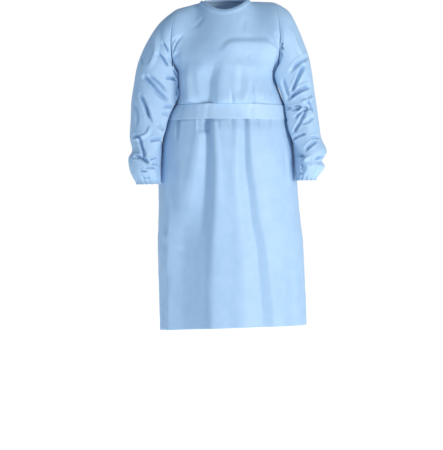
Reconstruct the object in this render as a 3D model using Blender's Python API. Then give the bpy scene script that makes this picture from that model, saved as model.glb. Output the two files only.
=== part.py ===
"""A procedure gown of light blue nonwoven cloth, hollow and in the shape it has when worn.

Units are metres and +Z is up. The front faces -Y and the wearer's left is +X. The origin is the
middle of the neck opening, level with the shoulders that carry the gown. Tables are in
millimetres, because they are read like a cutting list.
"""

import math
from collections import namedtuple

import bmesh
import bpy
import numpy as np

MM = 0.001

# Cloth and seams
WALL = 1.5 * MM
BINDING_WALL = 1.9 * MM
BELT_WALL = 1.5 * MM
SEAM_GAP = 0.3 * MM
LAP_STEP = 2.4 * MM

# Heights
UNDERARM = -235 * MM
BELT_TOP = -348 * MM
BELT_BOTTOM = -400 * MM
HEM = -1089 * MM
HEM_RISE_TO_LEFT = 9 * MM
HEM_RISE_IN_FRONT = 6 * MM
HEM_BLEND = 250 * MM
HEM_HALF_WIDTH = 250 * MM

# Neck
NECK_HALF_WIDTH = 78 * MM
NECK_FRONT = 80 * MM
NECK_BACK = 62 * MM
NECK_FRONT_DROP = 40 * MM
NECK_BACK_RISE = 8 * MM
NECK_SIDE_HEIGHT = 6 * MM
SHOULDER_TILT = 0.03
BINDING_OUT = 7 * MM
BINDING_DOWN = 6 * MM

# Shoulder and chest shaping
NECK_SHARE = (0.3125, 0.6875)
NECK_BLEND = 0.06
CHEST_LIFT = 0.20
SHOULDER_ROLL = 0.105
NECK_ROLL_LOSS = 0.45
NECK_ROLL_RISE = 0.084
ARMHOLE_REACH = 0.36
ARMHOLE_GRIP = 1.5
ARMHOLE_BOW = 13 * MM
ARMHOLE_BOW_REACH = 0.25

# Grid counts
NECK_COLUMNS = 12
FRONT_SHOULDER_COLUMNS = 8
BACK_SHOULDER_COLUMNS = 6
YOKE_ROWS = 9
SLEEVE_COLUMNS = 36
SLEEVE_ROWS = 24
BELT_COLUMNS = 48
BELT_ROWS = 2
CUFF_COLUMNS = 56

# Back opening: how many of the neck's columns each back panel passes the centre
LAP_COLUMNS = 4

# Cuffs
CUFF_WIDTH = 10 * MM
CUFF_WAVES = 14
CUFF_WAVE_DEPTH = 1.6 * MM
CUFF_PINCH = 1.2 * MM
SLEEVE_RADIUS = 64 * MM
SLEEVE_END_SHARE = 0.97

# Belt, knot and tails
BELT_EASE = 0.8 * MM
BELT_STEPS_OUT = (120, 146)
KNOT_SIZE = (46 * MM, 24 * MM, 40 * MM)
KNOT_ROUNDING = 10 * MM
TAIL_WIDTH = 46 * MM
TAIL_LENGTH = 240 * MM
TAIL_SHORTFALL = (0.0, 0.14)
TAIL_GATHER = 0.42
TAIL_OPEN_AT = 0.3
TAIL_SETTLED_AT = 0.35
TAIL_LEAN = 18 * MM
TAIL_PARTING = 15 * MM
TAIL_STAND_OFF = 14 * MM
TAIL_ROWS = 10
TAIL_COLUMNS = 4
TAIL_CUP = 2 * MM

Section = namedtuple("Section", "height right left front back")
BODY_SECTIONS = [
    Section(height=-235, right=-168, left=172.5, front=-150, back=112),
    Section(height=-262, right=-165, left=170, front=-153, back=112),
    Section(height=-290, right=-161.5, left=177, front=-157, back=112),
    Section(height=-320, right=-161, left=188.5, front=-159, back=112),
    Section(height=-348, right=-170, left=200, front=-148, back=105),
    Section(height=-374, right=-184, left=206.5, front=-147, back=104),
    Section(height=-400, right=-195, left=211, front=-150, back=107),
    Section(height=-430, right=-202, left=217, front=-160, back=120),
    Section(height=-465, right=-207, left=223, front=-166, back=132),
    Section(height=-524, right=-212, left=231, front=-171, back=143),
    Section(height=-600, right=-220, left=239, front=-175, back=152),
    Section(height=-700, right=-222, left=249, front=-178, back=158),
    Section(height=-804, right=-225, left=261, front=-181, back=162),
    Section(height=-905, right=-223, left=266, front=-184, back=165),
    Section(height=-1005, right=-220, left=271, front=-186, back=167),
    Section(height=-1105, right=-217, left=274, front=-187, back=168),
]

# A sleeve ring runs from its outer point to its inner point; depth is its half depth and
# forward is how far its middle lies in front of the shoulder line.
Ring = namedtuple("Ring", "outer_x outer_z inner_x inner_z depth forward")
RIGHT_SLEEVE = [
    Ring(outer_x=-164, outer_z=-26, inner_x=-168, inner_z=-235, depth=84, forward=0),
    Ring(outer_x=-201, outer_z=-55, inner_x=-171, inner_z=-246, depth=84, forward=4),
    Ring(outer_x=-228, outer_z=-83, inner_x=-172, inner_z=-260, depth=83, forward=4),
    Ring(outer_x=-258, outer_z=-130, inner_x=-170, inner_z=-274, depth=81, forward=5),
    Ring(outer_x=-281, outer_z=-178, inner_x=-168, inner_z=-290, depth=79, forward=6),
    Ring(outer_x=-295, outer_z=-221, inner_x=-166, inner_z=-308, depth=77, forward=8),
    Ring(outer_x=-305, outer_z=-278, inner_x=-168, inner_z=-330, depth=75, forward=10),
    Ring(outer_x=-313, outer_z=-335, inner_x=-186, inner_z=-357, depth=72, forward=14),
    Ring(outer_x=-315, outer_z=-395, inner_x=-208, inner_z=-405, depth=68, forward=22),
    Ring(outer_x=-317, outer_z=-456, inner_x=-215, inner_z=-462, depth=64, forward=34),
    Ring(outer_x=-309, outer_z=-499, inner_x=-219, inner_z=-507, depth=60, forward=46),
    Ring(outer_x=-321, outer_z=-528, inner_x=-226, inner_z=-542, depth=58, forward=56),
    Ring(outer_x=-314, outer_z=-570, inner_x=-226, inner_z=-574, depth=50, forward=66),
    Ring(outer_x=-296, outer_z=-603, inner_x=-221, inner_z=-601, depth=34, forward=74),
]
LEFT_SLEEVE = [
    Ring(outer_x=165, outer_z=-2, inner_x=172.5, inner_z=-235, depth=84, forward=0),
    Ring(outer_x=191, outer_z=-16, inner_x=177, inner_z=-248, depth=84, forward=4),
    Ring(outer_x=218, outer_z=-38, inner_x=179, inner_z=-261, depth=83, forward=4),
    Ring(outer_x=245, outer_z=-91, inner_x=180, inner_z=-275, depth=81, forward=5),
    Ring(outer_x=265, outer_z=-141, inner_x=184, inner_z=-291, depth=79, forward=6),
    Ring(outer_x=280, outer_z=-184, inner_x=192, inner_z=-311, depth=76, forward=8),
    Ring(outer_x=290, outer_z=-234, inner_x=203, inner_z=-333, depth=73, forward=10),
    Ring(outer_x=298, outer_z=-295, inner_x=213, inner_z=-360, depth=70, forward=14),
    Ring(outer_x=306, outer_z=-352, inner_x=220, inner_z=-395, depth=67, forward=22),
    Ring(outer_x=313, outer_z=-405, inner_x=226, inner_z=-435, depth=64, forward=31),
    Ring(outer_x=320, outer_z=-456, inner_x=234, inner_z=-476, depth=61, forward=40),
    Ring(outer_x=338, outer_z=-502, inner_x=242, inner_z=-511, depth=59, forward=49),
    Ring(outer_x=322, outer_z=-534, inner_x=246, inner_z=-538, depth=54, forward=56),
    Ring(outer_x=330, outer_z=-554, inner_x=247, inner_z=-560, depth=50, forward=61),
    Ring(outer_x=305, outer_z=-588, inner_x=246, inner_z=-590, depth=33, forward=68),
]

# A body fold hangs down the cloth. Its angle is taken round the body from the centre front,
# positive to the wearer's left, at its upper end, its middle and its lower end.
FOLD_MIDDLE = 0.35
FOLD_CREST = 0.45
FOLD_CREST_PLACE = 2.1
FOLD_CREST_WIDTH = 1.1
FOLD_FADE = 30 * MM
FOLD_FREE_OF_BELT = 12 * MM
BodyFold = namedtuple("BodyFold", "upper middle lower top bottom width depth")
BODY_FOLDS = [
    BodyFold(upper=-24, middle=-14, lower=-23, top=-396, bottom=-1200, width=8, depth=22),
    BodyFold(upper=21, middle=24, lower=27, top=-396, bottom=-1200, width=6, depth=13),
    BodyFold(upper=-46, middle=-52, lower=-58, top=-396, bottom=-1050, width=7, depth=10),
    BodyFold(upper=58, middle=63, lower=68, top=-396, bottom=-900, width=7, depth=6),
    BodyFold(upper=-2, middle=2, lower=2, top=-396, bottom=-620, width=6, depth=4),
    BodyFold(upper=106, middle=108, lower=102, top=-396, bottom=-1200, width=7, depth=8),
    BodyFold(upper=132, middle=136, lower=138, top=-396, bottom=-1200, width=8, depth=17),
    BodyFold(upper=-106, middle=-107, lower=-100, top=-396, bottom=-1200, width=7, depth=8),
    BodyFold(upper=-130, middle=-134, lower=-136, top=-396, bottom=-1200, width=8, depth=15),
    BodyFold(upper=168, middle=171, lower=172, top=-396, bottom=-950, width=7, depth=8),
    BodyFold(upper=-9, middle=-13, lower=-24, top=-150, bottom=-352, width=7, depth=9),
    BodyFold(upper=-50, middle=-50, lower=-48, top=-225, bottom=-352, width=6, depth=7),
    BodyFold(upper=24, middle=24, lower=26, top=-200, bottom=-352, width=6, depth=4),
    BodyFold(upper=52, middle=52, lower=52, top=-260, bottom=-352, width=6, depth=5),
    BodyFold(upper=120, middle=122, lower=124, top=-190, bottom=-352, width=7, depth=7),
    BodyFold(upper=-126, middle=-124, lower=-122, top=-200, bottom=-352, width=7, depth=7),
    BodyFold(upper=158, middle=156, lower=152, top=-230, bottom=-352, width=7, depth=6),
]

# A sleeve fold is a trough from one place to another: down is the share of the sleeve's length
# and angle goes round it from the outer side, 90 at the front and 270 at the back.
SLEEVE_CREST = 0.4
SLEEVE_CREST_PLACE = 2.2
SleeveFold = namedtuple("SleeveFold", "down angle end_down end_angle width depth")
RIGHT_SLEEVE_FOLDS = [
    SleeveFold(down=0.08, angle=112, end_down=0.20, end_angle=150, width=14, depth=7),
    SleeveFold(down=0.40, angle=48, end_down=0.56, end_angle=128, width=14, depth=8),
    SleeveFold(down=0.50, angle=40, end_down=0.66, end_angle=85, width=14, depth=7),
    SleeveFold(down=0.73, angle=20, end_down=0.86, end_angle=92, width=13, depth=9),
    SleeveFold(down=0.81, angle=-20, end_down=0.88, end_angle=100, width=13, depth=10),
    SleeveFold(down=0.72, angle=100, end_down=0.70, end_angle=165, width=13, depth=7),
    SleeveFold(down=0.36, angle=300, end_down=0.50, end_angle=225, width=15, depth=8),
    SleeveFold(down=0.52, angle=310, end_down=0.62, end_angle=220, width=15, depth=8),
    SleeveFold(down=0.70, angle=320, end_down=0.78, end_angle=225, width=14, depth=9),
    SleeveFold(down=0.84, angle=300, end_down=0.87, end_angle=215, width=13, depth=8),
]
LEFT_SLEEVE_FOLDS = [
    SleeveFold(down=0.30, angle=25, end_down=0.42, end_angle=120, width=14, depth=7),
    SleeveFold(down=0.40, angle=30, end_down=0.52, end_angle=150, width=14, depth=8),
    SleeveFold(down=0.52, angle=30, end_down=0.62, end_angle=75, width=14, depth=9),
    SleeveFold(down=0.58, angle=95, end_down=0.68, end_angle=150, width=14, depth=7),
    SleeveFold(down=0.74, angle=50, end_down=0.74, end_angle=140, width=13, depth=8),
    SleeveFold(down=0.86, angle=-35, end_down=0.87, end_angle=50, width=12, depth=9),
    SleeveFold(down=0.34, angle=300, end_down=0.46, end_angle=225, width=15, depth=8),
    SleeveFold(down=0.50, angle=310, end_down=0.58, end_angle=220, width=15, depth=8),
    SleeveFold(down=0.68, angle=320, end_down=0.74, end_angle=225, width=14, depth=9),
    SleeveFold(down=0.80, angle=300, end_down=0.84, end_angle=215, width=13, depth=7),
]

CLOTH_COLOUR = (0.38, 0.59, 0.82, 1.0)
BELT_COLOUR = (0.40, 0.61, 0.84, 1.0)
BINDING_COLOUR = (0.34, 0.55, 0.79, 1.0)
CLOTH_ROUGHNESS = 0.62


def curve_through(at, places, values):
    """Reads a smooth curve through the table's values, with slopes from the neighbours."""
    places = np.asarray(places, float)
    values = np.asarray(values, float)
    if places[0] > places[-1]:
        places = places[::-1]
        values = values[::-1]
    slopes = np.gradient(values, places)
    at = np.clip(np.asarray(at, float), places[0], places[-1])
    left = np.clip(np.searchsorted(places, at) - 1, 0, len(places) - 2)
    span = places[left + 1] - places[left]
    t = (at - places[left]) / span
    rise = values[left] * (1 + 2 * t) * (1 - t) ** 2 + values[left + 1] * t * t * (3 - 2 * t)
    lean = slopes[left] * t * (1 - t) ** 2 + slopes[left + 1] * t * t * (t - 1)
    return rise + lean * span


def ramp(value, start, end):
    """0 before start, 1 after end, and a smooth rise between them."""
    t = np.clip((np.asarray(value, float) - start) / (end - start), 0, 1)
    return t * t * (3 - 2 * t)


def body_size(height, name):
    """One size of the body's section at a height, in metres."""
    heights = [row.height for row in BODY_SECTIONS]
    return curve_through(height / MM, heights, [getattr(row, name) for row in BODY_SECTIONS]) * MM


def body_point(angle, height):
    """A point of the plain body surface; angle is in radians from the centre front."""
    right, left = body_size(height, "right"), body_size(height, "left")
    front, back = body_size(height, "front"), body_size(height, "back")
    across = np.sin(angle)
    ahead = np.cos(angle)
    depth = np.where(ahead > 0, -front, back)
    x = (left + right) / 2 + (left - right) / 2 * across
    return np.stack([x, -depth * ahead, height + 0 * x], axis=-1)


def neck_point(angle, outward, down):
    """A point of the neck opening, or of a curve that lies outward of it and below it."""
    ahead = np.cos(angle)
    side = np.sin(angle)
    reach = np.where(ahead > 0, NECK_FRONT, NECK_BACK) + outward
    x = (NECK_HALF_WIDTH + outward) * side
    fall = np.where(ahead > 0, -NECK_FRONT_DROP * ahead**2, NECK_BACK_RISE * ahead**2)
    height = NECK_SIDE_HEIGHT + fall + SHOULDER_TILT * x - down
    return np.stack([x, -reach * ahead, height], axis=-1)


def armhole_point(rings, angle):
    """A point of the armhole seam: angle 0 is the shoulder, 90 degrees the front, 180 the underarm."""
    first = rings[0]
    outer = np.array([first.outer_x, 0, first.outer_z]) * MM
    inner = np.array([first.inner_x, 0, first.inner_z]) * MM
    middle = (outer + inner) / 2
    middle[1] = -first.forward * MM
    turn = np.asarray(angle)[..., None]
    point = middle + np.cos(turn) * (outer - inner) / 2
    bow = math.copysign(ARMHOLE_BOW, first.outer_x) * np.sin(turn) ** 2
    return point + bow * np.array([1.0, 0, 0]) - np.sin(turn) * np.array([0, first.depth * MM, 0])


def top_edge(across, facing):
    """The upper edge of the front or the back: a shoulder seam, the neckline, a shoulder seam."""
    low, high = NECK_SHARE
    turn = (np.clip(across, low, high) - low) / (high - low) * 2 - 1
    angle = turn * math.pi / 2
    if facing < 0:
        angle = math.pi - angle
    neck = neck_point(angle, BINDING_OUT, BINDING_DOWN)
    right_end = armhole_point(RIGHT_SLEEVE, np.zeros_like(across))
    left_end = armhole_point(LEFT_SLEEVE, np.zeros_like(across))
    right_share = np.clip(1 - across / low, 0, 1)[..., None]
    left_share = np.clip((across - high) / (1 - high), 0, 1)[..., None]
    return neck + right_share * (right_end - neck) + left_share * (left_end - neck)


def yoke_point(across, up, facing):
    """A point above the underarm; across runs from the wearer's right to the left, up from 0 to 1."""
    angle = (across - 0.5) * math.pi
    if facing < 0:
        angle = math.pi - angle
    bottom = body_point(angle, np.full_like(across, UNDERARM))
    top = top_edge(across, facing)
    low, high = NECK_SHARE
    past_right = ramp(across, low - NECK_BLEND, low + NECK_BLEND)
    over_neck = past_right * (1 - ramp(across, high - NECK_BLEND, high + NECK_BLEND))
    rise = np.stack([0 * across, 0 * across, np.full_like(across, CHEST_LIFT)], axis=-1)
    level = facing * SHOULDER_ROLL * (1 - NECK_ROLL_LOSS * over_neck)
    roll = np.stack([0 * across, level, NECK_ROLL_RISE * over_neck], axis=-1)

    def column(base, edge, base_slope, edge_slope):
        t = up[..., None]
        ends = base * (1 + 2 * t) * (1 - t) ** 2 + edge * t * t * (3 - 2 * t)
        return ends + base_slope * t * (1 - t) ** 2 + edge_slope * t * t * (t - 1)

    point = column(bottom, top, rise, roll)
    turn = math.pi * (1 - up) * facing
    for rings, share, edge in (
        (RIGHT_SLEEVE, 1 - across / ARMHOLE_REACH, 0.0),
        (LEFT_SLEEVE, 1 - (1 - across) / ARMHOLE_REACH, 1.0),
    ):
        side = np.full_like(across, edge)
        side_angle = (side - 0.5) * math.pi
        if facing < 0:
            side_angle = math.pi - side_angle
        side_bottom = body_point(side_angle, np.full_like(across, UNDERARM))
        plain = column(side_bottom, top_edge(side, facing), rise, roll)
        weight = ramp(share, 0, 1)[..., None] ** ARMHOLE_GRIP
        point = point + weight * (armhole_point(rings, turn) - plain)
    return point


def body_fold_depth(angle, height):
    """How far the folds draw the cloth in; angle is in radians round the body."""
    degrees = np.degrees(angle)
    total = np.zeros_like(degrees)
    for fold in BODY_FOLDS:
        along = np.clip((fold.top * MM - height) / ((fold.top - fold.bottom) * MM), 0, 1)
        bend = (fold.upper, fold.middle, fold.lower)
        centre = np.interp(along, (0, FOLD_MIDDLE, 1), bend)
        off = (degrees - centre + 180) % 360 - 180
        trough = np.exp(-((off / fold.width) ** 2))
        beside = np.abs(off) / fold.width - FOLD_CREST_PLACE
        crest = FOLD_CREST * np.exp(-((beside / FOLD_CREST_WIDTH) ** 2))
        fade = ramp(height, fold.bottom * MM - FOLD_FADE, fold.bottom * MM + FOLD_FADE)
        rise = 1 - ramp(height, fold.top * MM - FOLD_FADE, fold.top * MM)
        under = ramp(height, BELT_BOTTOM - FOLD_FREE_OF_BELT, BELT_BOTTOM)
        belt = 1 - under * (1 - ramp(height, BELT_TOP, BELT_TOP + FOLD_FREE_OF_BELT))
        total = total + fold.depth * MM * (trough - crest) * fade * rise * belt
    return total


def body_rows():
    """The heights of the panels' rows below the underarm, and then the shares of the yoke."""
    skirt = np.linspace(HEM, BELT_BOTTOM - 0.050, 10)
    belt = np.linspace(BELT_BOTTOM, BELT_TOP, BELT_ROWS + 1)
    bodice = np.linspace(BELT_TOP + 0.045, UNDERARM, 4)
    edges = (BELT_BOTTOM - 0.022, *belt, BELT_TOP + 0.020)
    rows = [(height, 0.0) for height in (*skirt, *edges, *bodice)]
    return rows + [(UNDERARM, up) for up in np.linspace(0, 1, YOKE_ROWS + 1)[1:]]


def shares_across(shoulder_columns):
    """Places across a panel, 0 at the wearer's right seam; the neck's columns match its binding's."""
    low, high = NECK_SHARE
    right = np.linspace(0, low, shoulder_columns + 1)[:-1]
    neck = np.linspace(low, high, NECK_COLUMNS + 1)
    left = np.linspace(high, 1, shoulder_columns + 1)[1:]
    return np.concatenate([right, neck, left])


def normals_of(grid, around=False):
    """The direction out of the cloth at each point of a grid of rows and columns."""
    if around:
        across = np.roll(grid, -1, axis=1) - np.roll(grid, 1, axis=1)
    else:
        across = np.gradient(grid, axis=1)
    up = np.gradient(grid, axis=0)
    return unit(np.cross(across, up))


def unit(vectors):
    """The same directions at length one."""
    return vectors / np.maximum(np.linalg.norm(vectors, axis=-1, keepdims=True), 1e-12)


def panel(shares, facing):
    """The folded cloth of the front (facing 1) or the back (facing -1), hem first."""
    angle = (shares - 0.5) * math.pi
    if facing < 0:
        angle = math.pi - angle
    layers = []
    folds = []
    for height, up in body_rows():
        if up > 0:
            points = yoke_point(shares, np.full_like(shares, up), facing)
        else:
            points = body_point(angle, np.full_like(shares, height))
            near_hem = ramp(height, HEM + HEM_BLEND, HEM)
            points[..., 2] += near_hem * HEM_RISE_TO_LEFT * points[..., 0] / HEM_HALF_WIDTH
            points[..., 2] += near_hem * HEM_RISE_IN_FRONT * np.maximum(np.cos(angle), 0) ** 2
        layers.append(points)
        folds.append(body_fold_depth(angle, points[..., 2]) * (1 - ramp(up, 0.15, 0.5)))
    grid = np.array(layers)
    return grid - normals_of(grid) * np.array(folds)[..., None]


def share_seam(first, second):
    """Gives both sides of a seam one direction, so that their walls meet in a mitre."""
    both = unit(first + second)
    first[:] = both
    second[:] = both


def open_seam(edge, neighbours, gap):
    """Moves an edge's points towards their neighbours, which leaves a seam's gap."""
    edge += gap * unit(neighbours - edge)


def open_panel(grid, shoulders, sides):
    """Opens a panel's shoulder seams, given by their columns, and its side seams and armholes."""
    open_seam(grid[:, 0], grid[:, 1], SEAM_GAP / 2 if 0 in sides else 0)
    open_seam(grid[:, -1], grid[:, -2], SEAM_GAP / 2 if -1 in sides else 0)
    for columns in shoulders:
        open_seam(grid[-1, columns], grid[-2, columns], SEAM_GAP / 2)


def material(name, colour):
    """A matte cloth finish."""
    made = bpy.data.materials.new(name)
    made.use_nodes = True
    shader = made.node_tree.nodes["Principled BSDF"]
    shader.inputs["Base Color"].default_value = colour
    shader.inputs["Roughness"].default_value = CLOTH_ROUGHNESS
    shader.inputs["Metallic"].default_value = 0.0
    return made


def add_object(name, mesh, finish):
    """Turns an edited mesh into a named piece with its finish."""
    data = bpy.data.meshes.new(name)
    mesh.to_mesh(data)
    mesh.free()
    data.shade_smooth()
    data.materials.append(finish)
    made = bpy.data.objects.new(name, data)
    bpy.context.scene.collection.objects.link(made)
    return made


def cloth_object(name, outer, normal, finish, thickness=WALL, around=False):
    """One piece of cloth: a wall between a grid of points and the same grid moved inwards."""
    rows, columns = outer.shape[:2]
    inner = outer - normal * thickness
    mesh = bmesh.new()
    outside = [[mesh.verts.new(point) for point in row] for row in outer]
    inside = [[mesh.verts.new(point) for point in row] for row in inner]
    spans = columns if around else columns - 1
    for row in range(rows - 1):
        for column in range(spans):
            beside = (column + 1) % columns
            for skin, step in ((outside, 1), (inside, -1)):
                here, right = skin[row][column], skin[row][beside]
                above, across = skin[row + 1][column], skin[row + 1][beside]
                mesh.faces.new((here, right, across)[::step])
                mesh.faces.new((here, across, above)[::step])
    rims = [(outside[0], inside[0], -1), (outside[-1], inside[-1], 1)]
    if around:
        rims = [(out + out[:1], within + within[:1], step) for out, within, step in rims]
    else:
        for column, step in ((0, 1), (-1, -1)):
            out = [row[column] for row in outside]
            rims.append((out, [row[column] for row in inside], step))
    for out, within, step in rims:
        for at in range(len(out) - 1):
            mesh.faces.new((out[at], out[at + 1], within[at + 1])[::step])
            mesh.faces.new((out[at], within[at + 1], within[at])[::step])
    return add_object(name, mesh, finish)


def sleeve_surface(rings, down, angle):
    """A point of a sleeve without its folds: down is a share of its length, angle in radians."""
    places = np.linspace(0, 1, len(rings))

    def size(name):
        return curve_through(down, places, [getattr(ring, name) for ring in rings]) * MM

    outer = np.stack([size("outer_x"), 0 * down, size("outer_z")], axis=-1)
    inner = np.stack([size("inner_x"), 0 * down, size("inner_z")], axis=-1)
    middle = (outer + inner) / 2
    middle[..., 1] = -size("forward")
    point = middle + np.cos(angle)[..., None] * (outer - inner) / 2
    bow = ARMHOLE_BOW * (1 - ramp(down, 0, ARMHOLE_BOW_REACH)) * np.sin(angle) ** 2
    point[..., 0] += math.copysign(1, rings[0].outer_x) * bow
    point[..., 1] -= np.sin(angle) * size("depth")
    return point


def sleeve_fold_depth(folds, down, angle, length):
    """How far a sleeve's folds draw its cloth in."""
    place = np.stack([down * length, angle * SLEEVE_RADIUS], axis=-1)
    total = np.zeros_like(down)
    for fold in folds:
        for turn in (-2 * math.pi, 0, 2 * math.pi):
            start = np.array([fold.down * length, (math.radians(fold.angle) + turn) * SLEEVE_RADIUS])
            end_angle = math.radians(fold.end_angle) + turn
            way = np.array([fold.end_down * length, end_angle * SLEEVE_RADIUS]) - start
            share = np.clip(((place - start) @ way) / (way @ way), 0, 1)
            off = np.linalg.norm(place - start - share[..., None] * way, axis=-1) / (fold.width * MM)
            crest = SLEEVE_CREST * np.exp(-((off - SLEEVE_CREST_PLACE) ** 2))
            total += fold.depth * MM * (np.exp(-(off**2)) - crest)
    return total


def sleeve(rings, folds):
    """The cloth of a sleeve, cuff end first, with the direction out of it."""
    columns = np.linspace(0, 2 * math.pi, SLEEVE_COLUMNS, endpoint=False)
    if rings[0].outer_x > 0:
        columns = columns[::-1]
    down, angle = np.meshgrid(np.linspace(1, 0, SLEEVE_ROWS + 1), columns, indexing="ij")
    grid = sleeve_surface(rings, down, angle)
    length = np.linalg.norm(np.diff(grid.mean(axis=1), axis=0), axis=-1).sum()
    away_from_ends = ramp(down, 0.02, 0.12) * (1 - ramp(down, 0.92, 1.0))
    draw = sleeve_fold_depth(folds, down, angle, length) * away_from_ends
    grid = grid - normals_of(grid, around=True) * draw[..., None]
    # The panels have every second point of the armhole, so those between lie midway.
    between = np.arange(SLEEVE_COLUMNS) % 2 == (1 if rings[0].outer_x < 0 else 0)
    middles = (np.roll(grid[-1], 1, axis=0) + np.roll(grid[-1], -1, axis=0)) / 2
    grid[-1, between] = middles[between]
    out = normals_of(grid, around=True)
    out[0] = unit(grid[0] - grid[0].mean(axis=0))
    return grid, out, columns


def cuff(name, rings, finish):
    """The elastic casing at the end of a sleeve, drawn into small gathers."""
    columns = np.linspace(0, 2 * math.pi, CUFF_COLUMNS, endpoint=False)
    if rings[0].outer_x > 0:
        columns = columns[::-1]
    end = sleeve_surface(rings, np.ones_like(columns), columns)
    above = sleeve_surface(rings, np.full_like(columns, SLEEVE_END_SHARE), columns)
    way = unit((end - above).mean(axis=0))
    outward = unit(end - end.mean(axis=0))
    layers = []
    for share in (1.0, 0.5, 0.0):
        ripple = CUFF_WAVE_DEPTH * share * np.sin(CUFF_WAVES * columns)
        pinch = CUFF_PINCH * math.sin(math.pi * share)
        along = SEAM_GAP + share * CUFF_WIDTH
        layers.append(end + way * along + outward * (ripple - pinch)[:, None])
    grid = np.array(layers)
    direction = np.broadcast_to(outward, grid.shape)
    cloth_object(name, grid, direction, finish, around=True)


def neck_binding():
    """The folded tape round the neck edge, outer row first, with its two ends lapped at the back."""
    reach = NECK_COLUMNS + LAP_COLUMNS
    angles = np.arange(-reach, reach + 1) * math.pi / NECK_COLUMNS
    layers = []
    for share in (0.0, 0.5, 1.0):
        outward = (BINDING_OUT - SEAM_GAP) * (1 - share)
        layers.append(neck_point(angles, outward, BINDING_DOWN * (1 - share)))
    return np.array(layers)


def belt_surface(angle, height):
    """A point of the belt's outer side, which stands off further where the back is lapped."""
    step = 0.002
    across = body_point(angle + step, height) - body_point(angle - step, height)
    up = body_point(angle, height + step) - body_point(angle, height - step)
    lapped = LAP_STEP * ramp(np.abs(angle), *(math.radians(side) for side in BELT_STEPS_OUT))
    stand_off = BELT_WALL + BELT_EASE + lapped
    return body_point(angle, height) + unit(np.cross(across, up)) * stand_off[..., None]


def belt_band(finish):
    """The belt round the waist."""
    columns = np.linspace(-math.pi, math.pi, BELT_COLUMNS, endpoint=False)
    heights = np.linspace(BELT_BOTTOM, BELT_TOP, BELT_ROWS + 1)
    grid = np.array([belt_surface(columns, np.full_like(columns, height)) for height in heights])
    normal = normals_of(grid, around=True)
    cloth_object("belt_band", grid, normal, finish, thickness=BELT_WALL, around=True)


def belt_back():
    """The point where the belt stands out furthest behind the knot's flat face."""
    rows = np.linspace(BELT_BOTTOM, BELT_TOP, BELT_ROWS + 1)
    points = belt_surface(np.full_like(rows, math.pi), rows)
    middle = (BELT_TOP + BELT_BOTTOM) / 2
    flat = KNOT_SIZE[2] / 2 - KNOT_ROUNDING
    behind = np.interp((middle - flat, middle + flat), points[:, 2], points[:, 1])
    return np.array([points[0, 0], behind.max(), middle])


def belt_knot(finish):
    """The flat knot at the centre back."""
    depth = KNOT_SIZE[1]
    mesh = bmesh.new()
    bmesh.ops.create_cube(mesh, size=1)
    bmesh.ops.scale(mesh, vec=KNOT_SIZE, verts=mesh.verts)
    bmesh.ops.bevel(mesh, geom=mesh.edges[:], offset=KNOT_ROUNDING, segments=3, affect="EDGES")
    made = add_object("belt_knot", mesh, finish)
    back = belt_back()
    made.location = (back[0], back[1] + SEAM_GAP + depth / 2, back[2])


def belt_tail(name, side, finish):
    """A loose end of the belt, which hangs from the knot down the back of the skirt."""
    behind_belt = belt_back()
    width, depth, height = KNOT_SIZE
    top = behind_belt[2] - height / 2 - SEAM_GAP
    layers = []
    for down in np.linspace(1, 0, TAIL_ROWS + 1):
        drop = TAIL_LENGTH * (1 - TAIL_SHORTFALL[side > 0]) * down
        spread = TAIL_WIDTH / 2 * (TAIL_GATHER + (1 - TAIL_GATHER) * ramp(down, 0, TAIL_OPEN_AT))
        across = np.linspace(1, -1, TAIL_COLUMNS + 1)
        lean = side * (width / 4 + TAIL_PARTING * ramp(down, 0, TAIL_OPEN_AT) + TAIL_LEAN * down)
        x = behind_belt[0] + lean + spread * across
        turn = math.pi - np.arcsin(np.clip((x - behind_belt[0]) / body_size(top - drop, "left"), -1, 1))
        behind = body_point(turn, np.full_like(x, top - drop))[..., 1] + TAIL_STAND_OFF
        hang = behind_belt[1] + depth / 2
        settled = ramp(down, 0, TAIL_SETTLED_AT)
        y = hang * (1 - settled) + behind * settled - TAIL_CUP * across**2 * side
        layers.append(np.stack([x, y, np.full_like(x, top - drop)], axis=-1))
    grid = np.array(layers)
    cloth_object(name, grid, normals_of(grid), finish, thickness=BELT_WALL)


def fit_armhole(ring_out, columns, front_out, back_out):
    """Mitres a sleeve's first ring with the edges of the two panels round the armhole."""
    rows = np.arange(YOKE_ROWS + 1)
    corner = len(front_out) - YOKE_ROWS - 1
    turns = math.pi * (1 - rows / YOKE_ROWS)
    for edge, facing in ((front_out, 1), (back_out, -1)):
        panel_out = edge[corner:]
        for row, turn in enumerate(turns):
            at = np.argmin(np.abs(np.exp(1j * columns) - np.exp(1j * facing * turn)))
            panel_out[row] = unit(panel_out[row] + ring_out[at])
    for at, column in enumerate(columns):
        angle = (column + math.pi) % (2 * math.pi) - math.pi
        edge = front_out if angle >= 0 else back_out
        place = (1 - abs(angle) / math.pi) * YOKE_ROWS
        below = min(int(place), YOKE_ROWS - 1)
        share = place - below
        mixed = edge[corner + below] * (1 - share) + edge[corner + below + 1] * share
        ring_out[at] = unit(mixed)


def fit_shoulders(grid, out, shoulder):
    """Makes a panel's wall stand upright along its shoulder seams."""
    upright = unit(np.cross(np.gradient(grid[-1], axis=0), np.array([0.0, 1.0, 0.0])))
    upright *= np.sign(upright[:, 2:3])
    seam = [*range(shoulder + 1), *range(len(upright) - shoulder - 1, len(upright))]
    out[-1, seam] = upright[seam]


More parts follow.
